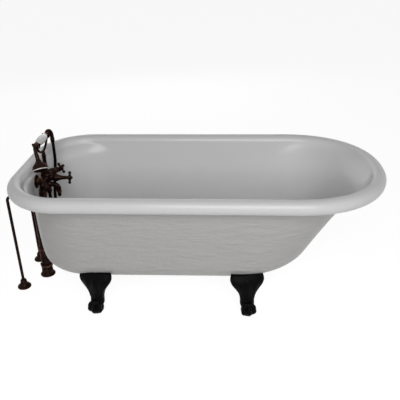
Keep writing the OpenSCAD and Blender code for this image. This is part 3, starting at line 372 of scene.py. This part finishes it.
def wall_ring(depth, out):
    """Ring of the wall at a depth, where out is 0 inside and the wall's thickness outside."""
    full = roll_z - basin_z + out
    s = depth / full
    spread = 1 - (1 - min(1, depth / spread_depth)) ** 2
    x0 = end_x + 2 * roll_r - out
    x1 = head_x - 2 * roll_r + out
    in_drain = (drain_step * min(1, depth / step_depth) + drain_lean * s ** 6
        + curve_in(drain_curve + out, drain_curve + out, depth, full))
    in_head = (head_step * spread + head_lean * s ** 0.8
        + curve_in(head_curve_l + out, head_curve_h + out, depth, full))
    in_side = side_lean * s + curve_in(side_curve + out, side_curve + out, depth, full)
    kx = 1 - (in_drain + in_head) / (x1 - x0)
    ky = 1 - in_side / (half_w - roll_r + out)
    ring = []
    for qx, qy, ox, oy in outline(corner_r + corner_spread * spread):
        x = x0 + in_drain + (qx + ox * (out - roll_r) - x0) * kx
        y = (qy + oy * (out - roll_r)) * ky
        z = roll_z - depth + bottom_fall * (x - drain_pos_x) / tub_l * s ** 4
        ring.append(Vector((x, y, z)) * MM)
    return ring


def roll_ring(r, degrees, ease=0):
    """Ring of the roll at an angle of its section, and less by ease at the head end."""
    ring = []
    for x, y, ox, oy in outline(corner_r):
        a = math.radians(degrees - ease * max(ox, 0))
        ring.append(Vector((x + ox * r * math.cos(a), y + oy * r * math.cos(a),
            roll_z + r * math.sin(a))) * MM)
    return ring


def depths(out):
    """Depths of the wall's rings, from just below the roll to the bottom."""
    full = roll_z - basin_z + out
    straight = full - head_curve_h - out
    return ([step_depth / 2, step_depth, 20, 30, ease_depth, spread_depth]
        + [spread_depth + (straight - spread_depth) * j / wall_steps
            for j in range(1, wall_steps + 1)]
        + [straight + (full - straight) * math.sin(math.radians(90 * j / curve_steps))
            for j in range(1, curve_steps + 1)])


def floor_rings(edge):
    """Smaller and smaller rings over the flat bottom, inside its edge."""
    middle = sum(edge, Vector()) / len(edge)
    return [[p.lerp(middle, j / floor_steps) for p in edge] for j in range(1, floor_steps)]


def eased_point(start, leave, end, enter, t):
    """Point at t on the smooth curve that leaves its start and enters its end in given ways."""
    return (start * (2 * t ** 3 - 3 * t * t + 1) + leave * (t ** 3 - 2 * t * t + t)
        + end * (3 * t * t - 2 * t ** 3) + enter * (t ** 3 - t * t))


outer = [wall_ring(d, wall) for d in reversed(depths(wall))]
inner = [wall_ring(d, 0) for d in depths(0)]
under_roll = [roll_ring(roll_r - wall, 180 - (180 + roll_curl) * j / under_steps)
    for j in range(under_steps + 1)]
lip = []
for a in map(math.radians, (-45, 0, 45)):
    lip_r = roll_r - wall / 2 + wall / 2 * math.sin(a)
    lip.append(roll_ring(lip_r, -roll_curl - lip_turn * math.cos(a)))
over_roll = [roll_ring(roll_r, -roll_curl + (180 + roll_curl) * j / over_steps,
    head_ease * j / over_steps) for j in range(over_steps + 1)]
# at the head end the roll runs over into the sloping wall without a crease
joined = wall_ring(ease_depth, 0)
below = wall_ring(ease_depth + 4, 0)
for depth, ring in zip(depths(0), inner):
    t = depth / ease_depth
    for i, (x, y, ox, oy) in enumerate(outline(corner_r)):
        if ox <= 0 or t >= 1:
            continue
        a = math.radians(180 - head_ease * ox)
        start, end = over_roll[-1][i], joined[i]
        span = (end - start).length
        leave = Vector((-ox * math.sin(a), -oy * math.sin(a), math.cos(a))) * span
        enter = (below[i] - end).normalized() * span
        ring[i] = ring[i].lerp(eased_point(start, leave, end, enter, t), min(1, 2 * ox))
underside = floor_rings(outer[0])[::-1] + outer
bm = bmesh.new()
loft(bm, underside + under_roll + lip + over_roll + inner + floor_rings(inner[-1]))
bmesh.ops.recalc_face_normals(bm, faces=bm.faces)
tub_shape = BVHTree.FromBMesh(bm)


def enamel_finish(name, colour, rough, waves, scale, stretch):
    """Fired enamel over cast iron: glossy, with the faint waves that its pour leaves."""
    material, tree, skin = new_material(name, {"Specular IOR Level": 0.35, "Coat Weight": 0.15,
        "Coat Roughness": 0.12})
    ramp(tree, object_noise(tree, 3, 2), [(0.3, [c * 0.985 for c in colour]), (0.7, colour)],
        skin.inputs["Base Color"])
    broad = object_noise(tree, scale, 4, stretch)
    ramp(tree, broad, [(0.3, rough), (0.7, rough + 0.02)], skin.inputs["Roughness"])
    relief(tree, broad, waves, 0.008, skin)
    return material


white_enamel = enamel_finish("white_enamel", (0.8, 0.8, 0.8), 0.3, 0.02, 7, (1, 1, 1))
outer_enamel = enamel_finish("outer_enamel", (0.55, 0.543, 0.531), 0.42, 1.0, 13, (1, 1, 3.5))
tub = new_piece("tub_casting", bm, white_enamel, "tub", ["tub_shell"])
tub.data.materials.append(outer_enamel)
# the greyer enamel covers the underside and the outer walls, up to just under the roll
outside_faces = len(underside) * len(outer[0])
outer_top = (roll_z - 8) * MM
for face in tub.data.polygons:
    if face.index < outside_faces and face.normal.z < 0.35 and face.center.z < outer_top:
        face.material_index = 1
smoother = tub.modifiers.new("rounding", "SUBSURF")
smoother.levels = 1
smoother.render_levels = 1

# Foundry pads under the tub: short round bosses cast in one with the shell, which take the drain
# and the bolts of the feet.
foot_y = 280
foot_turn = math.radians(14)
foot_bolt_in = 72
foot_seat_z = 129.64
drain_pad_z = 137
drain_foot_x = end_x + 334
head_foot_x = head_x - 556
foot_places = [(drain_foot_x, -1, -1), (drain_foot_x, 1, -1), (head_foot_x, -1, 1),
    (head_foot_x, 1, 1)]


def lathe(bm, profile, place, way, steps=48):
    """Turned shape from (radius, height) points in mm: spun about its axis, then put in place."""
    before = set(bm.verts)
    line = [bm.verts.new((r * MM, 0, h * MM)) for r, h in profile]
    edges = [bm.edges.new(pair) for pair in zip(line, line[1:])]
    bmesh.ops.spin(bm, geom=line + edges, cent=(0, 0, 0), axis=(0, 0, 1), dvec=(0, 0, 0),
        angle=math.tau, steps=steps, use_merge=True, use_normal_flip=False, use_duplicate=False)
    bmesh.ops.remove_doubles(bm, verts=[v for v in bm.verts if v not in before], dist=1e-6)
    made = [v for v in bm.verts if v not in before]
    turn = Vector((0, 0, 1)).rotation_difference(Vector(way)).to_matrix().to_4x4()
    bmesh.ops.transform(bm, matrix=Matrix.Translation(Vector(place) * MM) @ turn, verts=made)
    faces = {f for v in made for f in v.link_faces}
    bmesh.ops.recalc_face_normals(bm, faces=list(faces))


def foot_way(side_y, side_x):
    """Outward direction of a foot, turned a little towards its corner."""
    return Vector((side_x * math.sin(foot_turn), side_y * math.cos(foot_turn), 0))


bm = bmesh.new()
for x, side_y, side_x in foot_places:
    out = foot_way(side_y, side_x)
    lathe(bm, [(0, 0), (18.5, 0), (20, 1.5), (20, 10), (24, 14), (24, 17), (0, 17)],
        (x - out.x * foot_bolt_in, side_y * foot_y - out.y * foot_bolt_in, foot_seat_z), (0, 0, 1))
lathe(bm, [(24, 0), (41, 0), (42, 1), (42, 2), (46, 5), (24, 5), (24, 0)],
    (drain_pos_x, 0, drain_pad_z), (0, 0, 1))
new_piece("foundry_pads", bm, outer_enamel, "tub")

# Claw feet: cast iron, painted black. Each has a broad knee with a leaf in relief, a slim ankle
# and four toes that hold a ball, and is bolted under the tub through a pad.
ball_r = 29
ball_z = 27.5
knee_z = foot_seat_z + 38
knee_w = 142
ankle_w = 60
pad_in = 40
pad_l = 64
pad_w = 40
pad_h = 12
foot_sides = 40
foot_voxel = 1.5 * MM
# down the leg from its ankle up: place outwards, height, half width and half thickness
leg = [(-10, ball_z, 19, 17), (-11, ball_z + 20, 29, 20), (-13, 66, ankle_w / 2, 19),
    (-14, 80, ankle_w / 2 + 0.5, 19), (-15, 96, 34, 20), (-15, knee_z - 54, 41, 22),
    (-15, knee_z - 34, 54, 24), (-15, knee_z - 16, 66, 24), (-18, knee_z, knee_w / 2, 24),
    (-23, knee_z + 14, 69, 21), (-26, knee_z + 24, 64, 18)]


def smooth_rows(rows, count):
    """Rows with count steps from each to the next, on one smooth curve through them."""
    fine = []
    for around in zip(rows[:1] + rows, rows, rows[1:], rows[2:] + rows[-1:]):
        for t in (k / count for k in range(count)):
            fine.append([0.5 * (2 * b + (c - a) * t + (2 * a - 5 * b + 4 * c - d) * t * t
                + (3 * b - a - 3 * c + d) * t ** 3) for a, b, c, d in zip(*around)])
    return fine + [rows[-1]]


def foot_ring(out, up, w, t):
    """Ring of the leg: its middle, half width across and half thickness, in mm."""
    ring = []
    for i in range(foot_sides):
        a = math.tau * i / foot_sides
        c, s = math.cos(a), math.sin(a)
        ring.append(Vector((out + t * math.copysign(abs(c) ** 0.8, c),
            w * math.copysign(abs(s) ** 0.8, s), up)) * MM)
    return ring


def claw_toe(bm, turned):
    """Toe over the ball: three knuckles that shrink towards a hooked talon, as rows of the angle
    up the ball, the height off it and the toe's radius."""
    spin = Matrix.Rotation(math.radians(turned), 3, "Z")
    stations = [(78, 6, 10), (66, 8, 10.5), (54, 6.5, 8.8), (42, 6.5, 10), (30, 6, 9.5),
        (18, 4.5, 8), (6, 4.5, 8.8), (-6, 4, 8), (-16, 2.5, 6), (-27, 1.6, 4.6), (-38, 0.8, 3.2),
        (-50, 0, 1.4)]
    path = []
    for degrees, lift, r in stations:
        a = math.radians(degrees)
        reach = ball_r + lift - 2
        path.append(spin @ Vector((reach * math.cos(a), 0, 0)) * MM
            + Vector((0, 0, ball_z + reach * math.sin(a))) * MM)
    tube(bm, path, [r * MM for degrees, lift, r in stations], sides=16)


bm = bmesh.new()
loft(bm, [foot_ring(*row) for row in smooth_rows(leg, 4)])
bmesh.ops.create_uvsphere(bm, u_segments=32, v_segments=20, radius=ball_r * MM,
    matrix=Matrix.Translation((0, 0, ball_z * MM)))
for turned in (-50, 0, 50, 180):
    claw_toe(bm, turned)
# the pad that the bolt holds
bmesh.ops.create_cube(bm, size=1,
    matrix=Matrix.Translation(Vector((-pad_in, 0, foot_seat_z - pad_h / 2)) * MM)
    @ Matrix.Diagonal((pad_l * MM, pad_w * MM, pad_h * MM, 1)))
lathe(bm, [(0, 0), (pad_w / 2, 0), (pad_w / 2, pad_h), (0, pad_h)],
    (-foot_bolt_in, 0, foot_seat_z - pad_h), (0, 0, 1))
bmesh.ops.recalc_face_normals(bm, faces=bm.faces)


def baked(bm, name, changes):
    """Runs modifiers over a mesh, each given as (kind, settings), and gives the changed mesh."""
    mesh = bpy.data.meshes.new(name)
    bm.to_mesh(mesh)
    bm.free()
    worker = bpy.data.objects.new(name, mesh)
    scene.collection.objects.link(worker)
    for kind, settings in changes:
        change = worker.modifiers.new(kind.lower(), kind)
        for key, value in settings.items():
            setattr(change, key, value)
    shape = worker.evaluated_get(bpy.context.evaluated_depsgraph_get())
    made = bmesh.new()
    made.from_mesh(shape.data)
    bpy.data.objects.remove(worker)
    bpy.data.meshes.remove(mesh)
    return made


foot = baked(bm, "foot_pattern", [
    ("REMESH", {"mode": "VOXEL", "voxel_size": foot_voxel, "use_smooth_shade": True}),
    ("SMOOTH", {"factor": 0.5, "iterations": 3})])

# the leaf in relief, in mm, with its lean in radians and the number of its veins
leaf_foot = 70
leaf_l = 104
leaf_h = 1.7
leaf_lean = 1.1
veins = 5.2
vein_curl = 0.0042
midrib_h = 2.6
midrib_w = 3.2
bead_h = 2.4
bead_w = 3
bead_in = 5


def leg_half(up):
    """Half width of the leg at a height, in mm."""
    for low, high in zip(leg, leg[1:]):
        if low[1] <= up <= high[1]:
            return low[2] + (high[2] - low[2]) * (up - low[1]) / (high[1] - low[1])
    return leg[-1][2]


def leaf_relief(across, up):
    """Height in mm of the acanthus leaf on the front of the leg: a midrib, veins that fan out and
    curl from its foot, a lobed outline, and a bead along each shoulder."""
    rise = up - leaf_foot
    reach = math.hypot(across, rise)
    lean = math.atan2(abs(across), rise)
    half = leg_half(up)
    bead = 0
    if up > leaf_foot + 8:
        bead = bead_h * math.exp(-((half - bead_in - abs(across)) / bead_w) ** 2)
    if rise < 0 or reach > leaf_l * (1 - 0.28 * (lean / leaf_lean) ** 2):
        return bead
    wave = math.cos(veins * (lean + vein_curl * reach) * math.pi)
    body = leaf_h * min(1, max(0, (half - 9 - abs(across)) / 5))
    midrib = midrib_h * math.exp(-(across / midrib_w) ** 2) * min(1, (leaf_l - reach) / 20)
    return bead + body * (0.45 + 0.55 * wave * min(1, reach / 30)) + midrib


foot.normal_update()
for v in foot.verts:
    facing = max(0, v.normal.x)
    if v.co.z > leaf_foot * MM * 0.9 and facing > 0.15:
        v.co += v.normal * leaf_relief(v.co.y / MM, v.co.z / MM) * min(1, facing * 1.6) * MM


def painted_iron():
    """Satin black paint over the grainy skin of a sand casting, thin on its rubbed edges, whose
    lighter colour is partly worn paint and partly painted edge highlights.
    """
    material, tree, skin = new_material("black_iron", {"Specular IOR Level": 0.045})
    # lighter colour on convex edges: partly thin, worn paint, partly painted highlights
    ramp(tree, edge_mask(tree, -0.03, 90), [(0, (0.002, 0.0018, 0.0018)),
        (1, (0.014, 0.011, 0.0095))], skin.inputs["Base Color"])
    grain = object_noise(tree, 420, 4)
    ramp(tree, grain, [(0.3, 0.34), (0.7, 0.52)], skin.inputs["Roughness"])
    relief(tree, grain, 0.3, 0.0006, skin)
    return material


black_iron = painted_iron()
foot_names = ["foot_drain_near", "foot_drain_far", "foot_head_near", "foot_head_far"]
# the knee's top is trimmed to the tub's bottom, which is looked for upwards from the ankle
trim_from = 120 * MM
look_from = 100 * MM
seat_gap = 0.2 * MM
for node, (x, side_y, side_x) in zip(foot_names, foot_places):
    out = foot_way(side_y, side_x)
    bm = foot.copy()
    turn = Matrix.Rotation(math.atan2(out.y, out.x), 4, "Z")
    place = Matrix.Translation(Vector((x, side_y * foot_y, 0)) * MM)
    bmesh.ops.transform(bm, matrix=place @ turn, verts=bm.verts)
    for v in bm.verts:
        v.co.z = max(v.co.z, 0)
        if v.co.z > trim_from:
            above = tub_shape.ray_cast(Vector((v.co.x, v.co.y, look_from)), Vector((0, 0, 1)))[0]
            if above:
                v.co.z = min(v.co.z, above.z - seat_gap)
    new_piece("claw_" + node, bm, black_iron, "tub", [node])
foot.free()

# Hand shower: a porcelain grip between two bronze ferrules. A bent neck carries the bell with its
# white ring, and an elbow at the other end turns down to the hose. It lies rolled in the cradle.
body_x = -622.5
faucet_z = 499
handset_z = faucet_z + 172
handset_roll = math.radians(-18)
grip_l = 112
grip_end_r = 9.8
belly_r = 17.2
grip_steps = 28
ferrule_l = 16
neck_angle = math.radians(63)
neck_reach = 58
neck_r = 6.4
neck_swell = 2.6
neck_steps = 30
bell_r = 33
elbow_start = (body_x, 72, handset_z)
elbow_end = (body_x + 14.5, 92, handset_z - 26)
elbow_r = 9.6
elbow_taper = 1.6
on_cradle = (Matrix.Translation(Vector((body_x, 0, handset_z)) * MM)
    @ Matrix.Rotation(handset_roll, 4, "Y"))


def plain_finish(name, settings, scale, dark, pale, smooth, dull):
    """Finish with a faint unevenness of colour and gloss, as glaze and rubber have."""
    material, tree, skin = new_material(name, settings)
    cloud = object_noise(tree, scale, 3)
    ramp(tree, cloud, [(0.3, dark), (0.7, pale)], skin.inputs["Base Color"])
    ramp(tree, cloud, [(0.3, smooth), (0.7, dull)], skin.inputs["Roughness"])
    return material


porcelain = plain_finish("porcelain", {"Coat Weight": 0.6, "Coat Roughness": 0.05}, 60,
    (0.72, 0.715, 0.70), (0.77, 0.765, 0.755), 0.12, 0.2)
ring_white = plain_finish("white_ring", {"Specular IOR Level": 0.2}, 90,
    (0.84, 0.84, 0.83), (0.88, 0.88, 0.87), 0.5, 0.6)

bm = bmesh.new()
barrel = [(grip_end_r + (belly_r - grip_end_r) * math.sin(math.pi * i / grip_steps) ** 0.85,
    grip_l * (i / grip_steps - 0.5)) for i in range(1, grip_steps)]
lathe(bm, [(0, -grip_l / 2), (9.4, -grip_l / 2), *barrel, (9.4, grip_l / 2), (0, grip_l / 2)],
    (0, 0, 0), (0, 1, 0))
bmesh.ops.transform(bm, matrix=on_cradle, verts=bm.verts)
new_piece("grip_barrel", bm, porcelain, "handset", ["shower_grip"])

bm = bmesh.new()
way_down = Vector((0, -math.cos(neck_angle), -math.sin(neck_angle)))
neck_start = Vector((0, -grip_l / 2 - ferrule_l, 0))
neck_corner = neck_start + Vector((0, -12, 0))
bell_base = neck_corner + way_down * neck_reach
neck_line = interpolate_bezier(neck_start * MM, (neck_start + Vector((0, -26, 0))) * MM,
    (bell_base - way_down * 40) * MM, (bell_base + way_down * 3) * MM, neck_steps)
tube(bm, neck_line, [(neck_r + neck_swell * (i / (neck_steps - 1)) ** 2) * MM
    for i in range(neck_steps)], sides=24)
lathe(bm, [(0, -1), (8.5, -1), (10.2, 0.4), (10.6, 2), (10.2, 3.6), (8.6, 4.6), (7.4, 5.4),
    (8.2, 6.4), (8.2, 7.6), (7, 8.6), (0, 8.6)], neck_start, (0, -1, 0))
lathe(bm, [(0, -6), (8.6, -6), (9.2, -3), (10.2, 0), (12, 3.4), (14.8, 7), (18.4, 10.8),
    (22, 14.2), (25.2, 17.8), (27.8, 21.8), (29.6, 26), (31, 30), (32.4, 33.2), (bell_r, 34.4),
    (bell_r, 37), (29, 37), (29, 33), (0, 33)], bell_base, way_down, steps=64)
bmesh.ops.transform(bm, matrix=on_cradle, verts=bm.verts)
new_piece("spray_bell", bm, oiled_bronze, "handset", ["shower_head"])

bm = bmesh.new()
elbow_line = smooth_path([elbow_start, (body_x + 0.6, 77, handset_z + 5.2),
    (body_x + 3.2, 83, handset_z + 8.6), (body_x + 8, 88.5, handset_z + 7.2),
    (body_x + 12, 91.4, handset_z - 0.5), (body_x + 14.2, 92, handset_z - 12), elbow_end],
    2.5 * MM)
tube(bm, elbow_line, [(elbow_r - elbow_taper * i / len(elbow_line)) * MM
    for i in range(len(elbow_line))], sides=24)
lathe(bm, [(0, -1), (9, -1), (10.4, 0.4), (10.6, 2), (9.8, 4), (8.4, 6.4), (0, 6.4)],
    elbow_start, (0, 0.8, 0.6))
lathe(bm, [(0, 0), (8.6, 0), (9.4, 1), (9.4, 3), (8.4, 4.4), (7.4, 5), (0, 5)],
    elbow_end, (0, 0, 1))
new_piece("hose_elbow", bm, oiled_bronze, "handset", ["shower_elbow"])

# Cradle: a turned column on the faucet's body that carries the yoke for the handset. The column
# ends just under the yoke, whose two forks hold the ferrules.
fork_r = 14
yoke_h = 36
yoke_r = 5
column_base = faucet_z + 46
column_l = handset_z - fork_r - yoke_h - yoke_r - column_base - 0.2
bm = bmesh.new()
lathe(bm, [(0, 0), (10.5, 0), (11.6, 1.2), (11.6, 3), (10, 4.6), (8.4, 6.4), (9.6, 8), (9.6, 10),
    (8.2, 12), (7.6, 18), (7.4, 28), (8, column_l - 19), (9.4, column_l - 15),
    (9.4, column_l - 12), (7.8, column_l - 10), (7, column_l - 6), (7.6, column_l - 3),
    (8, column_l), (0, column_l)], (body_x, 0, column_base), (0, 0, 1))
new_piece("cradle_column", bm, oiled_bronze, "tub", ["cradle_post"])

# Cross handles: a round hub with a recess for its button, and four tapered arms that end in knobs.
# Two turn the side valves and the third, which faces the bather, turns the diverter.
valve_y = 62
valve_angle = math.radians(55)
valve_reach = 46
diverter_reach = 91
arm_up = 7


def cross_handle(name, body, place, way, turned, replaced):
    """Handle whose hub starts at a place on its stem's axis, with its first arm turned."""
    bm = bmesh.new()
    lathe(bm, [(0, 0), (8, 0), (10, 1.2), (11, 4), (11, 10), (9.6, 12.8), (7.8, 14), (6.3, 14),
        (6.3, 12), (0, 12)], place, way)
    swing = Matrix.Rotation(math.atan2(way[1], way[0]), 3, "Z")
    for arm in range(4):
        a = math.radians(turned + 90 * arm)
        out = swing @ Vector((0, math.sin(a), math.cos(a)))
        lathe(bm, [(0, 3), (5.6, 3), (5.3, 8), (4.7, 11.5), (4.4, 13), (5.8, 14.2), (5.8, 15.4),
            (4.6, 16.6), (6, 18.4), (6.8, 21), (6.4, 23.8), (4.6, 26.2), (2.4, 27.2), (0, 27.4)],
            place + way * arm_up, out, steps=24)
    new_piece(name, bm, oiled_bronze, body, [replaced])


for name, side in (("hot", -1), ("cold", 1)):
    way = Vector((math.cos(valve_angle), side * math.sin(valve_angle), 0))
    cross_handle(name + "_cross", name + "_valve",
        Vector((body_x, side * valve_y, faucet_z)) + way * valve_reach, way, 45, name + "_handle")
cross_handle("diverter_cross", "diverter_valve", Vector((body_x + diverter_reach, 0, faucet_z)),
    Vector((1, 0, 0)), 25, "diverter_handle")

# Fittings that the CAD model holds in their final shape: turned bronze parts of the faucet, the
# waste and the supply lines, the iron bolts of the feet, the white ring and the rubber gaskets.
rubber = plain_finish("rubber", {"Specular IOR Level": 0.3}, 500, 0.012, 0.02, 0.7, 0.85)
finishes = {"aged_bronze": oiled_bronze, "black_iron": black_iron, "porcelain": porcelain,
    "rubber": rubber}
piping = ("_tube", "_tube_near", "_tube_far", "_tee", "_shoe", "overflow_elbow")
slots = {row["node"]: row["material_slot"] for row in frame["record"]["subparts"]}
for name, node in frame["nodes"].items():
    finish = finishes.get(slots[name])
    if finish == oiled_bronze and name.endswith(piping):
        finish = tube_bronze
    elif name == "shower_ring":
        finish = ring_white
    if finish:
        node.data.materials.clear()
        node.data.materials.append(finish)

# Floor and light: a pale floor that stays white to the camera but takes the tub's soft shadow, a
# white studio round it, one large soft lamp behind and above the camera and a weak one behind the
# tub.
bm = bmesh.new()
bmesh.ops.create_grid(bm, x_segments=1, y_segments=1, size=30)
floor_mesh = bpy.data.meshes.new("floor")
bm.to_mesh(floor_mesh)
bm.free()
floor = bpy.data.objects.new("floor", floor_mesh)
scene.collection.objects.link(floor)


def ray_mask(tree, *kinds):
    """A value that is 1 on the named kinds of rays, and 0 on the others."""
    rays = tree.nodes.new("ShaderNodeLightPath")
    mask = rays.outputs[kinds[0]]
    for kind in kinds[1:]:
        either = tree.nodes.new("ShaderNodeMath")
        either.operation = "MAXIMUM"
        tree.links.new(mask, either.inputs[0])
        tree.links.new(rays.outputs[kind], either.inputs[1])
        mask = either.outputs[0]
    return mask


pale = bpy.data.materials.new("pale_floor")
pale.use_nodes = True
tree = pale.node_tree
tree.nodes.clear()
surface = tree.nodes.new("ShaderNodeOutputMaterial")
matt = tree.nodes.new("ShaderNodeBsdfDiffuse")
matt.inputs["Color"].default_value = (0.8, 0.8, 0.8, 1)
faint = tree.nodes.new("ShaderNodeBsdfDiffuse")
faint.inputs["Color"].default_value = (0.22, 0.22, 0.22, 1)
glow = tree.nodes.new("ShaderNodeEmission")
glow.inputs["Strength"].default_value = 0.92
both = tree.nodes.new("ShaderNodeAddShader")
mix = tree.nodes.new("ShaderNodeMixShader")
tree.links.new(faint.outputs[0], both.inputs[0])
tree.links.new(glow.outputs[0], both.inputs[1])
tree.links.new(ray_mask(tree, "Is Camera Ray", "Is Glossy Ray"), mix.inputs["Fac"])
tree.links.new(matt.outputs[0], mix.inputs[1])
tree.links.new(both.outputs[0], mix.inputs[2])
tree.links.new(mix.outputs[0], surface.inputs["Surface"])
floor_mesh.materials.append(pale)

world = bpy.data.worlds.new("studio")
scene.world = world
world.use_nodes = True
tree = world.node_tree
sky = tree.nodes["Background"]
sky.inputs["Color"].default_value = (1, 1, 1, 1)
strength = tree.nodes.new("ShaderNodeMapRange")
strength.inputs["To Min"].default_value = 0.06
strength.inputs["To Max"].default_value = 1.0
tree.links.new(ray_mask(tree, "Is Camera Ray", "Is Glossy Ray", "Is Transmission Ray"),
    strength.inputs["Value"])
tree.links.new(strength.outputs["Result"], sky.inputs["Strength"])


def soft_lamp(name, place, target, size, power):
    """Square area lamp that looks from its place at a point."""
    light = bpy.data.lights.new(name, "AREA")
    light.size = size
    light.energy = power
    lamp = bpy.data.objects.new(name, light)
    lamp.location = place
    lamp.rotation_euler = (Vector(target) - Vector(place)).to_track_quat("-Z", "Y").to_euler()
    scene.collection.objects.link(lamp)


soft_lamp("key_lamp", (0.5, -3.2, 2.3), (0, 0, 0.4), 2.3, 80)
soft_lamp("back_lamp", (-0.6, 3.4, 2.0), (0, 0, 0.3), 2.6, 16)
